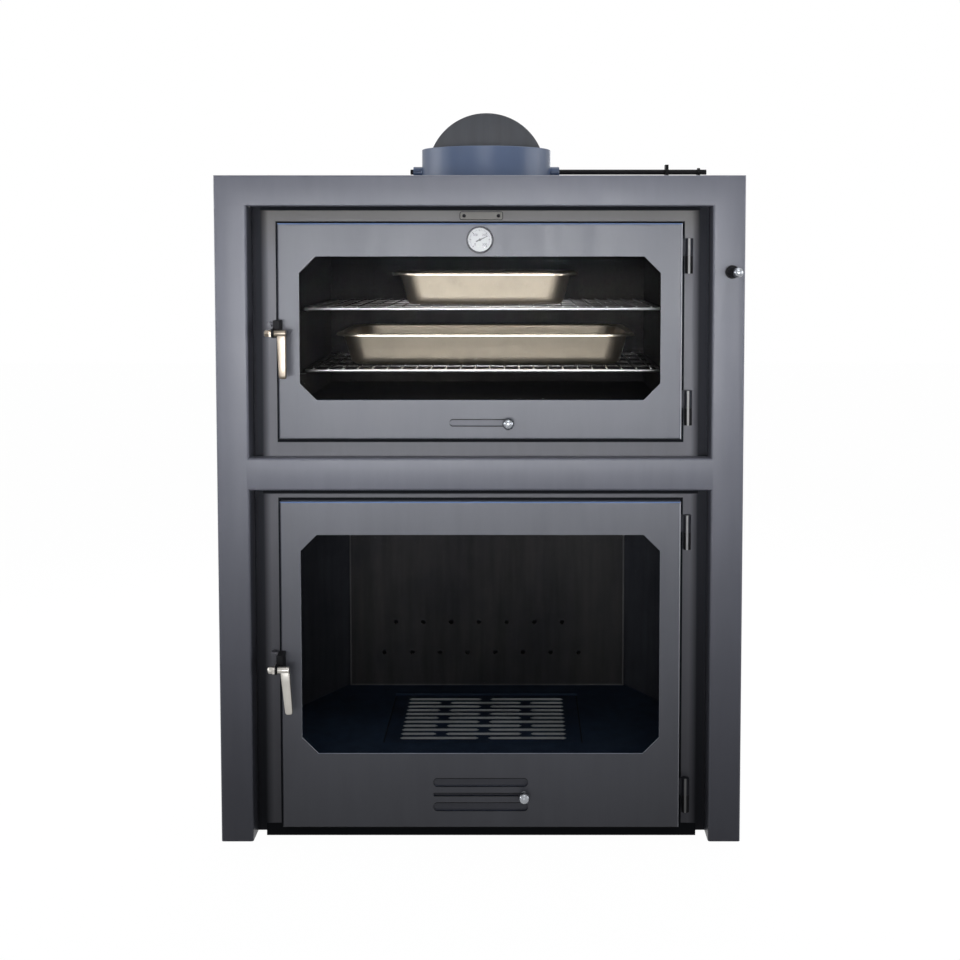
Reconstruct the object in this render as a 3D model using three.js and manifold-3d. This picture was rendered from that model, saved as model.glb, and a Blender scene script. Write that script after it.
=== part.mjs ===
// Wood stove with an oven above its fire, standing free behind a sheet steel front frame.
// Millimetres, +Z up. The front faces -Y, and the origin is under the middle of the whole stove.

import * as THREE from "three";
import { mergeVertices } from "three/addons/utils/BufferGeometryUtils.js";
import Module from "manifold-3d";

const wasm = await Module();
wasm.setup();

// Clearances
const seatGap = 0.3;
const pinGap = 0.35;
const overrun = 6;
const mergeTolerance = 0.0001;

// Front frame: two posts and two rails of folded sheet
const frameWidth = 860;
const frameHeight = 1100;
const frameSheet = 3;
const frameBend = 4;
const frameSideDepth = 60;
const postWidth = 53;
const topRailHeight = 50;
const middleRailHeight = 53;
const middleRailShare = 0.5336;
const frameHalf = frameWidth / 2;
const postInner = frameHalf - postWidth;
const topRailBottom = frameHeight - topRailHeight;
const middleRailBottom = frameHeight * middleRailShare;
const middleRailTop = middleRailBottom + middleRailHeight;

// Casing behind the frame
const bodyDepth = 620;
const casingSheet = 3;
const casingLip = 24;
const casingBelowFrame = 10;
const bodyHeight = frameHeight - casingBelowFrame;
const bodyHalf = postInner + casingSheet;
const bodyInner = bodyHalf - casingSheet;
const backPanelFront = bodyDepth - casingSheet;
const topPlateBottom = bodyHeight - casingSheet;
const baseHeight = 0;

// Face plate, set back behind the frame, with a shadow groove at each side
const recessDepth = 24;
const plateSheet = 3;
const grooveWidth = 18;
const grooveDepth = 20;
const facePlateDrop = 10;
const facePlateTop = bodyHeight - facePlateDrop;
const faceHalf = postInner - grooveWidth;
const faceBack = recessDepth + plateSheet;
const lipFront = recessDepth + grooveDepth;
const chamberFront = faceBack + seatGap;
const faceRest = recessDepth - seatGap;

// Doors, of folded sheet
const doorSideMargin = 30.6;
const doorHalfWidth = faceHalf - doorSideMargin;
const doorFace = 2;
const doorDepth = 20;
const doorSheet = 3;
const doorBend = 3.5;
const doorBand = 15;
const doorBandDepth = 10;
const doorBack = doorFace + doorDepth;
const doorInside = doorFace + doorSheet;
const windowChamfer = 27;
const fireDoorBottom = 22.2;
const fireDoorBelowRail = 18.8;
const fireDoorTop = middleRailBottom - fireDoorBelowRail;
const ovenDoorAboveRail = 30.7;
const ovenDoorBelowRail = 27.2;
const ovenDoorBottom = middleRailTop + ovenDoorAboveRail;
const ovenDoorTop = topRailBottom - ovenDoorBelowRail;
const ovenWindowSide = 35;
const ovenWindowBelow = 64.7;
const ovenWindowAbove = 53.7;
const ovenWindowHalf = doorHalfWidth - ovenWindowSide;
const ovenWindowBottom = ovenDoorBottom + ovenWindowBelow;
const ovenWindowTop = ovenDoorTop - ovenWindowAbove;
const fireWindowSide = 33.4;
const fireWindowBelow = 125.4;
const fireWindowAbove = 54.7;
const fireWindowHalf = doorHalfWidth - fireWindowSide;
const fireWindowBottom = fireDoorBottom + fireWindowBelow;
const fireWindowTop = fireDoorTop - fireWindowAbove;
const glassThickness = 4;
const glassOverlap = 9;
const retainerWidth = 12;
const retainerThickness = 2.5;
const sealWidth = 9;

// Mouths of the oven and the firebox in the face plate, each smaller than its door
const mouthSide = 24.4;
const mouthHalfWidth = doorHalfWidth - mouthSide;
const mouthCorner = 8;
const ovenMouthAboveDoorFoot = 41.3;
const ovenMouthBelowDoorTop = 32.8;
const ovenMouthBottom = ovenDoorBottom + ovenMouthAboveDoorFoot;
const ovenMouthTop = ovenDoorTop - ovenMouthBelowDoorTop;
const fireMouthAboveDoorFoot = 13.8;
const fireMouthBelowDoorTop = 16.2;
const fireMouthBottom = fireDoorBottom + fireMouthAboveDoorFoot;
const fireMouthTop = fireDoorTop - fireMouthBelowDoorTop;

// Flue collar with its throttle disc
const flueFromBack = 164;
const flueDepth = bodyDepth - flueFromBack;
const collarOuterRadius = 125;
const collarWall = 3;
const collarHeight = 83;
const collarRimHeight = bodyHeight + collarHeight;
const collarFlangeWidth = 16;
const bossRadius = 10;
const bossLength = 17;
const damperRise = 41;
const damperHeight = bodyHeight + damperRise;
const damperPlay = 7;
const damperRadius = collarOuterRadius - collarWall - damperPlay;
const damperThickness = 3;
const damperShaftRadius = 5;
const damperShaftTail = 23;
const damperShaftInset = 1;
const damperShaftLeft = -collarOuterRadius - damperShaftTail;
const damperShaftRight = frameHalf - damperShaftInset;
const damperTurn = 90;

// Linkage from the pull knob to the disc
const rodFromSide = 22;
const rodBelowTop = 156;
const rodX = frameHalf - rodFromSide;
const rodHeight = frameHeight - rodBelowTop;
const rodRadius = 4;
const crankLength = 50;
const crankThickness = 5;
const crankWidth = 16;
const crankPinRadius = 4;
const yokeThickness = 5;
const yokeSlotPlay = 2;
const yokeRim = 7;
const ferruleRadius = 8;
const ferruleLength = 30;
const ferruleNoseShare = 0.8;
const pullReach = 62;
const pullBallRadius = 8;
const standFromSide = 28.5;
const standX = bodyHalf - standFromSide;
const standThickness = 6;
const standWidth = 26;
const standAbove = 14;
const guideShare = 0.485;
const guideDepth = bodyDepth * guideShare;

// Oven chamber
const ovenBesideMouth = 10;
const ovenHalfWidth = mouthHalfWidth + ovenBesideMouth;
const ovenFloorStep = 3;
const ovenRoofDrop = 5;
const ovenFloorTop = ovenMouthBottom + ovenFloorStep;
const ovenRoofBottom = ovenMouthTop - ovenRoofDrop;
const ovenClearHeight = ovenRoofBottom - ovenFloorTop;
const ovenFromBack = 105;
const ovenBackFace = bodyDepth - ovenFromBack;
const ovenSheet = 3;
const rackLedgeWidth = 12;
const rackLedgeSheet = 2;

// Racks of steel wire
const rackSideGap = 3;
const rackFrontSetBack = 112.7;
const rackBackGap = 7;
const rackHalfWidth = ovenHalfWidth - rackSideGap;
const rackFront = chamberFront + rackFrontSetBack;
const rackBack = ovenBackFace - rackBackGap;
const rackDepth = rackBack - rackFront;
const lowerRackShare = 0.2074;
const upperRackShare = 0.6037;
const lowerRackHeight = ovenFloorTop + ovenClearHeight * lowerRackShare;
const upperRackHeight = ovenFloorTop + ovenClearHeight * upperRackShare;
const rackRimRadius = 2.5;
const rackWireRadius = 1.6;
const rackWirePitch = 25.4;
const rackCrossCount = 1;
const wireSink = 0.4;

// Baking pans with a flat rim
const panCentreX = 4;
const panDepthShare = 0.2074;
const panDepthBelowRim = ovenClearHeight * panDepthShare;
const panWall = 1.2;
const panRimWidth = 14;
const panRimLip = 4;
const panCorner = 34;
const panTaper = 9;
const panFloorCorner = 16;
const largePanSideGap = 49;
const largePanSetBack = 25;
const largePanWidth = 2 * (ovenHalfWidth - largePanSideGap);
const largePanFront = rackFront + largePanSetBack;
const largePanRackSpare = 43;
const largePanDepth = rackDepth - largePanRackSpare;
const smallPanSetBack = 6;
const smallPanRackSpare = 103;
const smallPanWidthShare = 0.6132;
const smallPanWidth = largePanWidth * smallPanWidthShare;
const smallPanFront = rackFront + smallPanSetBack;
const smallPanDepth = rackDepth - smallPanRackSpare;

// Firebox
const fireFloorAboveDoorFoot = 92.8;
const fireFloorTop = fireDoorBottom + fireFloorAboveDoorFoot;
const fireFloorSheet = 6;
const liningThickness = 20;
const liningSideGap = 32;
const liningTaper = 74;
const liningTaperDepth = 125;
const liningBelowOven = 12;
const liningFrontHalf = bodyInner - liningSideGap;
const liningBackHalf = liningFrontHalf - liningTaper;
const backLiningFromBack = 165;
const backLiningFace = bodyDepth - backLiningFromBack;
const liningTurnDepth = backLiningFace - liningTaperDepth;
const liningTop = ovenMouthBottom - liningBelowOven;
const backLiningSheet = 6;
const backLiningAboveMouth = 8;
const backLiningTop = fireMouthTop + backLiningAboveMouth;
const airHoleRadius = 4.5;
const airHolePitchShare = 0.203;
const airHolePitch = liningBackHalf * airHolePitchShare;
const lowAirHoleRise = 66;
const highAirHoleRise = 127;
const lowAirHoleCount = 8;
const highAirHoleCount = 7;
const lowAirHoleOffset = -11;
const highAirHoleOffset = -16;
const airHoleRows = [
  { height: fireFloorTop + lowAirHoleRise, count: lowAirHoleCount, middle: lowAirHoleOffset },
  { height: fireFloorTop + highAirHoleRise, count: highAirHoleCount, middle: highAirHoleOffset },
];

// Grate in the firebox floor, over the ash pan
const grateHalfWidth = 176;
const grateSetBack = 110.7;
const grateBackGap = 59;
const grateFront = chamberFront + grateSetBack;
const grateBack = backLiningFace - grateBackGap;
const grateThickness = 12;
const grateSink = 2;
const grateRebate = 8;
const grateSlotMargin = 27.5;
const grateSlotRows = 11;
const grateSlotField = 2 * (grateHalfWidth - grateSlotMargin);
const grateSlotPitch = (grateBack - grateFront - 2 * grateSlotMargin) / (grateSlotRows - 1);
const grateSlotWidthShare = 0.54;
const grateSlotWidth = grateSlotPitch * grateSlotWidthShare;
const grateSlotLand = 16;
const grateBreakShare = 0.2564;
const ashPanHalfWidth = 170;
const ashPanSetBack = 42.7;
const ashPanBackGap = 55;
const ashPanFront = chamberFront + ashPanSetBack;
const ashPanLength = backLiningFace - ashPanBackGap - ashPanFront;
const ashPanHeight = 60;
const ashPanWall = 1.5;
const ashPanGripWidth = 110;
const ashPanGripReach = 18;

// Lift-off hinges
const hingeFromFaceEdge = 18.4;
const hingeX = faceHalf - hingeFromFaceEdge;
const hingeDepth = 16;
const barrelRadius = 6.3;
const hingePinRadius = 3.2;
const hingeLength = 57;
const hingeUpperShare = 0.5;
const hingeLeaf = 3;
const hingeFromDoorFoot = 22;
const hingeFromDoorTop = 24.5;
const ovenHingeBottoms = [ovenDoorBottom + hingeFromDoorFoot, ovenDoorTop - hingeFromDoorTop - hingeLength];
const fireHingeBottoms = [fireDoorBottom + hingeFromDoorFoot, fireDoorTop - hingeFromDoorTop - hingeLength];

// Door handles
const handlePivotDepth = -38;
const ovenHandleHeight = (ovenDoorBottom + ovenDoorTop) / 2;
const fireHandleRise = 6;
const fireHandleHeight = (fireDoorBottom + fireDoorTop) / 2 + fireHandleRise;
const handleFromDoorEdge = 20.9;
const hubRadius = 5.6;
const hubLength = 19.9;
const hubRight = handleFromDoorEdge - doorHalfWidth;
const hubLeft = hubRight - hubLength;
const lugThickness = 2.9;
const lugRight = hubLeft - seatGap;
const lugLeft = lugRight - lugThickness;
const bracketWidth = 10.1;
const bracketRight = lugLeft + bracketWidth;
const bracketRise = 20;
const bracketDrop = 8;
const bracketReach = 30;
const lugRadius = 7.5;
const axleRadius = 3.6;
const hookThickness = 3.7;
const boltHeadLength = 8;
const boltHeadRadius = 6;
const gripWidth = 14;
const gripThickness = 8;
const gripLength = 73;
const gripRound = 2.5;
const fireGripLean = 3.8;
const keeperDepth = 12;
const keeperRise = 12;
const keeperRadius = 3;
const keeperBesideDoor = 1.6;
const keeperLength = 16;
const keeperInner = -doorHalfWidth - keeperBesideDoor;
const keeperOuter = keeperInner - keeperLength;
const keeperLugWidth = 5;
const keeperClear = 0.4;
const hookArmTop = 3;
const hookArmHeight = 8;
const hookNoseLength = 5;
const hookNoseGap = 2.5;
const hookShoulderShare = 0.8;

// Oven door vent
const ventHalfWidth = 50;
const ventSlotHeight = 11;
const ventPlateHeight = 18;
const ventPlateOverlap = 5;
const ventAboveBand = 0.5;
const ventHeight = ovenDoorBottom + doorSheet + doorBand + ventAboveBand + ventPlateHeight / 2;
const ventKnobInset = 4;
const ventKnobX = ventHalfWidth - ventKnobInset;
const ventEndPlay = 2;
const ventTravel = 2 * ventKnobX - ventEndPlay;
const slidePlate = 2;

// Fire door air register
const airHalfWidth = 78.5;
const airSlotOffset = 20.5;
const airSlotTall = 14;
const airGuideTall = 5;
const airPlateHeight = 65;
const airPlateOverlap = 6;
const airAboveBand = 5.8;
const airPlateBottom = fireDoorBottom + doorSheet + doorBand + airAboveBand;
const airPlateTop = airPlateBottom + airPlateHeight;
const airGuideHeight = (airPlateBottom + airPlateTop) / 2;
const airSlotHeights = [airGuideHeight - airSlotOffset, airGuideHeight + airSlotOffset];
const airKnobInset = 6.5;
const airKnobX = airHalfWidth - airKnobInset;
const airEndPlay = 4;
const airTravel = 2 * airKnobX - airEndPlay;
const slotRoundShare = 0.49;
const runnerTall = 4;
const knobBallRadius = 9.5;
const knobStemRadius = 2;
const knobReach = 14;
const knobCollarRadius = 5;

// Thermometer
const gaugeX = 0.3;
const gaugeBelowDoorTop = 26.8;
const gaugeHeight = ovenDoorTop - gaugeBelowDoorTop;
const gaugeRadius = 21.5;
const gaugeBezel = 2;
const gaugeDepth = 7;
const gaugeDialSheet = 1;
const gaugeDialSink = 2.4;
const gaugeStemRadius = 3.4;
const gaugeStemLength = 15;
const needleLength = 14;
const needleTail = 7;
const needleWidth = 2;
const needleThickness = 0.8;
const needleHubRadius = 2.2;
const needleAngle = 25;

// Roundness: sides of a full circle, and steps of a bend
const fineSides = 48;
const roundSides = 20;
const smallSides = 12;
const ballRings = 10;
const holeSides = 10;
const wireSides = 6;
const bendSteps = 3;
const cornerSteps = 4;
const slotSteps = 1;

// Finishes
const satinPaint = new THREE.MeshStandardMaterial({ color: 0x5b5c61, roughness: 0.42, metalness: 0.35 });
const recessPaint = new THREE.MeshStandardMaterial({ color: 0x5f5d5a, roughness: 0.5, metalness: 0.3 });
const collarPaint = new THREE.MeshStandardMaterial({ color: 0x3f4a5a, roughness: 0.5, metalness: 0.3 });
const discSteel = new THREE.MeshStandardMaterial({ color: 0x3a3b3e, roughness: 0.6, metalness: 0.5 });
const chamberSteel = new THREE.MeshStandardMaterial({ color: 0x2a2a2b, roughness: 0.6, metalness: 0.4 });
const fireSteel = new THREE.MeshStandardMaterial({ color: 0x262626, roughness: 0.75, metalness: 0.3 });
const castIron = new THREE.MeshStandardMaterial({ color: 0x35383d, roughness: 0.7, metalness: 0.4 });
const galvanised = new THREE.MeshStandardMaterial({ color: 0x8a8f93, roughness: 0.45, metalness: 0.9 });
const blackSteel = new THREE.MeshStandardMaterial({ color: 0x151517, roughness: 0.5, metalness: 0.4 });
const brightSteel = new THREE.MeshStandardMaterial({ color: 0xc9c6c0, roughness: 0.25, metalness: 1 });
const chrome = new THREE.MeshStandardMaterial({ color: 0xe2e3e6, roughness: 0.08, metalness: 1 });
const panSteel = new THREE.MeshStandardMaterial({ color: 0xbfbab2, roughness: 0.3, metalness: 1 });
const clearGlass = new THREE.MeshStandardMaterial({
  color: 0xd8dde0, roughness: 0.03, metalness: 0, transparent: true, opacity: 0.25,
});
const ropeSeal = new THREE.MeshStandardMaterial({ color: 0x2c2b2a, roughness: 0.95, metalness: 0 });
const dialWhite = new THREE.MeshStandardMaterial({ color: 0xf0f0ec, roughness: 0.5, metalness: 0 });
const needleBlack = new THREE.MeshStandardMaterial({ color: 0x101010, roughness: 0.5, metalness: 0 });

// Turning a three.js shape into a solid, and a solid into a named piece

const cornersOfTriangle = 3;

function signedVolume(points, corners) {
  const a = new THREE.Vector3();
  const b = new THREE.Vector3();
  const c = new THREE.Vector3();
  let sum = 0;
  for (let i = 0; i < corners.length; i += cornersOfTriangle) {
    a.fromArray(points, corners[i] * cornersOfTriangle);
    b.fromArray(points, corners[i + 1] * cornersOfTriangle);
    c.fromArray(points, corners[i + 2] * cornersOfTriangle);
    sum += a.dot(b.cross(c));
  }
  return sum;
}

function solid(geometry) {
  geometry.deleteAttribute("normal");
  geometry.deleteAttribute("uv");
  const merged = mergeVertices(geometry, mergeTolerance);
  const points = merged.attributes.position.array;
  const all = merged.index.array;
  const corners = [];
  for (let i = 0; i < all.length; i += cornersOfTriangle) {
    const [a, b, c] = [all[i], all[i + 1], all[i + 2]];
    if (a !== b && b !== c && c !== a) {
      corners.push(a, b, c);
    }
  }
  if (signedVolume(points, corners) < 0) {
    corners.reverse();
  }
  const mesh = new wasm.Mesh({
    numProp: cornersOfTriangle,
    vertProperties: new Float32Array(points),
    triVerts: new Uint32Array(corners),
  });
  return new wasm.Manifold(mesh);
}

function joined(solids) {
  return solids.reduce((whole, next) => whole.add(next));
}

function cut(body, cutters) {
  return cutters.reduce((rest, cutter) => rest.subtract(cutter), body);
}

function piece(name, body, finish) {
  const { vertProperties, triVerts } = body.getMesh();
  const geometry = new THREE.BufferGeometry();
  const places = new THREE.BufferAttribute(new Float32Array(vertProperties), cornersOfTriangle);
  geometry.setAttribute("position", places);
  geometry.setIndex(new THREE.BufferAttribute(new Uint32Array(triVerts), 1));
  geometry.computeVertexNormals();
  const mesh = new THREE.Mesh(geometry, finish.clone());
  mesh.name = name;
  return mesh;
}

// Shapes: x, y and z are [from, to] ranges. A section along X is drawn in (y, z), along Y in (x, z),
// and along Z in (x, y).

const alongX = new THREE.Matrix4().makeBasis(
  new THREE.Vector3(0, 1, 0), new THREE.Vector3(0, 0, 1), new THREE.Vector3(1, 0, 0));
const quarterTurn = Math.PI / 2;

function block(x, y, z) {
  const box = new THREE.BoxGeometry(x[1] - x[0], y[1] - y[0], z[1] - z[0]);
  box.translate((x[0] + x[1]) / 2, (y[0] + y[1]) / 2, (z[0] + z[1]) / 2);
  return solid(box);
}

function extrusion(axis, shape, range) {
  const outline = shape.isShape ? shape : new THREE.Shape(shape);
  const length = range[1] - range[0];
  const form = new THREE.ExtrudeGeometry(outline, { depth: length, bevelEnabled: false });
  if (axis === "x") {
    form.applyMatrix4(alongX);
    form.translate(range[0], 0, 0);
  } else if (axis === "y") {
    form.rotateX(quarterTurn);
    form.translate(0, range[1], 0);
  } else {
    form.translate(0, 0, range[0]);
  }
  return solid(form);
}

function rod(axis, centre, range, radius, sides) {
  const form = new THREE.CylinderGeometry(radius, radius, range[1] - range[0], sides);
  const middle = (range[0] + range[1]) / 2;
  if (axis === "x") {
    form.rotateZ(quarterTurn);
    form.translate(middle, centre[0], centre[1]);
  } else if (axis === "y") {
    form.translate(centre[0], middle, centre[1]);
  } else {
    form.rotateX(quarterTurn);
    form.translate(centre[0], centre[1], middle);
  }
  return solid(form);
}

// A bore's flats lie outside the shaft that turns in it.
function bore(axis, centre, range, shaftRadius, sides) {
  return rod(axis, centre, range, (shaftRadius + pinGap) / Math.cos(Math.PI / sides), sides);
}

// A turned form about an axis along Y: profile points are [radius, y].
function turnedAlongY(profile, sides) {
  const form = new THREE.LatheGeometry(profile.map(([radius, y]) => new THREE.Vector2(radius, y)), sides);
  return solid(form);
}

function turnedAlongZ(profile, sides) {
  const form = new THREE.LatheGeometry(profile.map(([radius, z]) => new THREE.Vector2(radius, z)), sides);
  form.rotateX(quarterTurn);
  return solid(form);
}

function arcPoints(centre, radius, from, to, steps) {
  const points = [];
  for (let i = 0; i <= steps; i += 1) {
    const angle = from + ((to - from) * i) / steps;
    const offset = new THREE.Vector2(radius * Math.cos(angle), radius * Math.sin(angle));
    points.push(offset.add(new THREE.Vector2(centre[0], centre[1])));
  }
  return points;
}

function roundedRectangle(u, v, radius, steps = cornerSteps) {
  return [
    ...arcPoints([u[1] - radius, v[0] + radius], radius, -quarterTurn, 0, steps),
    ...arcPoints([u[1] - radius, v[1] - radius], radius, 0, quarterTurn, steps),
    ...arcPoints([u[0] + radius, v[1] - radius], radius, quarterTurn, Math.PI, steps),
    ...arcPoints([u[0] + radius, v[0] + radius], radius, Math.PI, Math.PI + quarterTurn, steps),
  ];
}

function chamferedRectangle(u, v, chamfer) {
  return [
    [u[0] + chamfer, v[0]], [u[1] - chamfer, v[0]], [u[1], v[0] + chamfer], [u[1], v[1] - chamfer],
    [u[1] - chamfer, v[1]], [u[0] + chamfer, v[1]], [u[0], v[1] - chamfer], [u[0], v[0] + chamfer],
  ].map(([a, b]) => new THREE.Vector2(a, b));
}

function polygon(points) {
  return points.map(([a, b]) => new THREE.Vector2(a, b));
}

// A folded channel: a flat front of the given width, and a leg at each edge, with bends at both corners.
// Points are (across, depth).
function channelSection(width, firstLeg, secondLeg, sheet, bend) {
  const inner = bend - sheet;
  return [
    new THREE.Vector2(0, firstLeg),
    ...arcPoints([bend, bend], bend, Math.PI, Math.PI + quarterTurn, bendSteps),
    ...arcPoints([width - bend, bend], bend, -quarterTurn, 0, bendSteps),
    new THREE.Vector2(width, secondLeg),
    new THREE.Vector2(width - sheet, secondLeg),
    ...arcPoints([width - bend, bend], inner, 0, -quarterTurn, bendSteps),
    ...arcPoints([bend, bend], inner, Math.PI + quarterTurn, Math.PI, bendSteps),
    new THREE.Vector2(sheet, firstLeg),
  ];
}

function centred(width) {
  return [-width / 2, width / 2];
}

function mirrored(half) {
  return [-half, half];
}

function widened([low, high], extra) {
  return [low - extra, high + extra];
}

// Front frame

function makeFrame() {
  const legToGroove = lipFront - seatGap;
  const postTop = topRailBottom - seatGap;
  const section = channelSection(postWidth, frameSideDepth, legToGroove, frameSheet, frameBend);
  const leftOutline = section.map((p) => new THREE.Vector2(p.x - frameHalf, p.y));
  const rightOutline = section.map((p) => new THREE.Vector2(frameHalf - p.x, p.y));
  const leftPost = extrusion("z", leftOutline, [0, postTop]);
  const throughSheet = [-overrun, frameSheet + overrun];
  const ferruleHole = bore("y", [rodX, rodHeight], throughSheet, ferruleRadius, roundSides);
  const rightPost = cut(extrusion("z", rightOutline, [0, postTop]), [ferruleHole]);

  const topSection = channelSection(topRailHeight, faceRest, frameSideDepth, frameSheet, frameBend);
  const topOutline = topSection.map((p) => new THREE.Vector2(p.y, topRailBottom + p.x));
  const capDepth = [frameSheet / 2, frameSideDepth];
  const capHeight = [topRailBottom, frameHeight - frameSheet / 2];
  const topRail = joined([
    extrusion("x", topOutline, mirrored(frameHalf)),
    block([-frameHalf, frameSheet - frameHalf], capDepth, capHeight),
    block([frameHalf - frameSheet, frameHalf], capDepth, capHeight),
  ]);
  const middleSection = channelSection(middleRailHeight, faceRest, faceRest, frameSheet, frameBend);
  const middleOutline = middleSection.map((p) => new THREE.Vector2(p.y, middleRailBottom + p.x));
  const middleRail = extrusion("x", middleOutline, mirrored(postInner - seatGap));
  return [
    piece("left_post", leftPost, satinPaint),
    piece("right_post", rightPost, satinPaint),
    piece("top_rail", topRail, satinPaint),
    piece("middle_rail", middleRail, satinPaint),
  ];
}

// Face plate, with both mouths, its folded side edges and a keeper pin for each door's hook

function keeper(handleHeight) {
  const height = handleHeight + keeperRise;
  const lug = block(
    [keeperOuter, keeperOuter + keeperLugWidth],
    [keeperDepth - keeperRadius, recessDepth + plateSheet / 2],
    [height - keeperRadius, height + keeperRadius]);
  const pin = rod("x", [keeperDepth, height], [keeperOuter, keeperInner], keeperRadius, smallSides);
  return lug.add(pin);
}

function makeFacePlate() {
  const height = [0, facePlateTop];
  const sheet = block(mirrored(faceHalf), [recessDepth, faceBack], height);
  const edgeDepth = [recessDepth, lipFront - seatGap];
  const edges = [-faceHalf, faceHalf - plateSheet].map((x) => block([x, x + plateSheet], edgeDepth, height));
  const mouthRange = [recessDepth - overrun, faceBack + overrun];
  const mouths = [[ovenMouthBottom, ovenMouthTop], [fireMouthBottom, fireMouthTop]].map(
    (span) => extrusion("y", roundedRectangle(mirrored(mouthHalfWidth), span, mouthCorner), mouthRange));
  const body = cut(joined([sheet, ...edges]), mouths);
  const keepers = [ovenHandleHeight, fireHandleHeight].map(keeper);
  return piece("face_plate", joined([body, ...keepers]), recessPaint);
}

// Casing

function makeCasing() {
  const sideOutline = polygon([
    [bodyHalf, lipFront], [bodyHalf, backPanelFront - seatGap], [bodyInner, backPanelFront - seatGap],
    [bodyInner, lipFront + casingSheet], [bodyHalf - casingLip, lipFront + casingSheet],
    [bodyHalf - casingLip, lipFront],
  ]);
  const sideHeight = [0, topPlateBottom - seatGap];
  const rightSide = extrusion("z", sideOutline, sideHeight);
  const leftOutline = sideOutline.map((p) => new THREE.Vector2(-p.x, p.y));
  const leftSide = extrusion("z", leftOutline, sideHeight);

  const guideCentre = [rodX, rodHeight];
  const guideDepths = [guideDepth, guideDepth + standThickness];
  const guideRadius = rodRadius + yokeRim;
  const guide = joined([
    block([bodyHalf - casingSheet / 2, rodX], guideDepths,
      [rodHeight - guideRadius, rodHeight + guideRadius]),
    rod("y", guideCentre, guideDepths, guideRadius, roundSides),
  ]);
  const throughGuide = [guideDepths[0] - overrun, guideDepths[1] + overrun];
  const guideBore = bore("y", guideCentre, throughGuide, rodRadius, smallSides);
  const rightWithGuide = rightSide.add(cut(guide, [guideBore]));

  const back = block(mirrored(bodyHalf), [backPanelFront, bodyDepth], [0, topPlateBottom - seatGap]);
  const flueRadius = collarOuterRadius - collarWall;
  const throughTop = [topPlateBottom - overrun, bodyHeight + overrun];
  const flueHole = rod("z", [0, flueDepth], throughTop, flueRadius, fineSides);
  const topSheet = block(mirrored(bodyHalf), [chamberFront, bodyDepth], [topPlateBottom, bodyHeight]);
  const top = cut(topSheet, [flueHole]);
  const baseDepth = [lipFront + casingSheet + seatGap, backPanelFront - seatGap];
  const base = block(mirrored(bodyInner - seatGap), baseDepth, [baseHeight, baseHeight + casingSheet]);
  return [
    piece("left_side_panel", leftSide, satinPaint),
    piece("right_side_panel", rightWithGuide, satinPaint),
    piece("back_panel", back, satinPaint),
    piece("top_plate", top, satinPaint),
    piece("base_plate", base, satinPaint),
  ];
}

// Flue collar and throttle

function makeCollar() {
  const foot = bodyHeight + seatGap;
  const inner = collarOuterRadius - collarWall;
  const profile = [
    [inner, foot], [collarOuterRadius + collarFlangeWidth, foot],
    [collarOuterRadius + collarFlangeWidth, foot + collarWall], [collarOuterRadius, foot + collarWall],
    [collarOuterRadius, collarRimHeight], [inner, collarRimHeight], [inner, foot],
  ];
  const shell = turnedAlongZ(profile, fineSides);
  const axis = [0, damperHeight];
  const bossFrom = collarOuterRadius - collarWall;
  const bossTo = collarOuterRadius + bossLength;
  const bosses = [rod("x", axis, [bossFrom, bossTo], bossRadius, roundSides),
    rod("x", axis, [-bossTo, -bossFrom], bossRadius, roundSides)];
  const clearance = bore("x", axis, mirrored(bossTo + overrun), damperShaftRadius, smallSides);
  const collar = piece("flue_collar", cut(joined([shell, ...bosses]), [clearance]), collarPaint);
  collar.position.y = flueDepth;
  return collar;
}

const crankRestAngle = (damperTurn / 2) * THREE.MathUtils.DEG2RAD;
const crankSwing = crankLength * Math.sin(crankRestAngle);
const crankPinRest = [crankSwing, -crankLength * Math.cos(crankRestAngle)];
const yokeInner = rodX - yokeThickness / 2;
const yokeOuter = rodX + yokeThickness / 2;
const crankInner = yokeOuter + yokeSlotPlay / 2;
const crankOuter = crankInner + crankThickness;

function makeThrottle() {
  const axis = [0, 0];
  const shaft = rod("x", axis, [damperShaftLeft, damperShaftRight], damperShaftRadius, smallSides);
  const armEnds = [[0, 0], crankPinRest];
  const armSpan = [crankInner, crankOuter];
  const armRounds = armEnds.map((end) => rod("x", end, armSpan, crankWidth / 2, roundSides));
  const along = new THREE.Vector2(...crankPinRest).normalize();
  const aside = new THREE.Vector2(-along.y, along.x).multiplyScalar(crankWidth / 2);
  const tip = new THREE.Vector2(...crankPinRest);
  const barCorners = [aside.clone().negate(), tip.clone().sub(aside), tip.clone().add(aside), aside];
  const bar = extrusion("x", barCorners, armSpan);
  const pin = rod("x", crankPinRest, [yokeInner - yokeSlotPlay / 2, crankOuter], crankPinRadius, smallSides);
  const discDepth = damperShaftRadius + seatGap;
  const disc = rod("y", axis, [discDepth, discDepth + damperThickness], damperRadius, fineSides);

  const standHeight = [bodyHeight + seatGap, damperHeight + standAbove];
  const standX0 = standX - standThickness / 2;
  const standFoot = standWidth / 2;
  const standOutline = polygon([
    [flueDepth - standFoot, standHeight[0]], [flueDepth + standFoot, standHeight[0]],
    [flueDepth + bossRadius, standHeight[1]], [flueDepth - bossRadius, standHeight[1]],
  ]);
  const standRange = [standX0, standX0 + standThickness];
  const standBore = bore("x", [flueDepth, damperHeight], [standX0 - overrun, standRange[1] + overrun],
    damperShaftRadius, smallSides);
  const stand = cut(extrusion("x", standOutline, standRange), [standBore]);

  const turning = new THREE.Group();
  turning.position.set(0, flueDepth, damperHeight);
  turning.add(
    piece("damper_shaft", joined([shaft, ...armRounds, bar, pin]), blackSteel),
    piece("damper_disc", disc, discSteel));
  return [turning, piece("shaft_stand", stand, blackSteel)];
}

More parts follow.
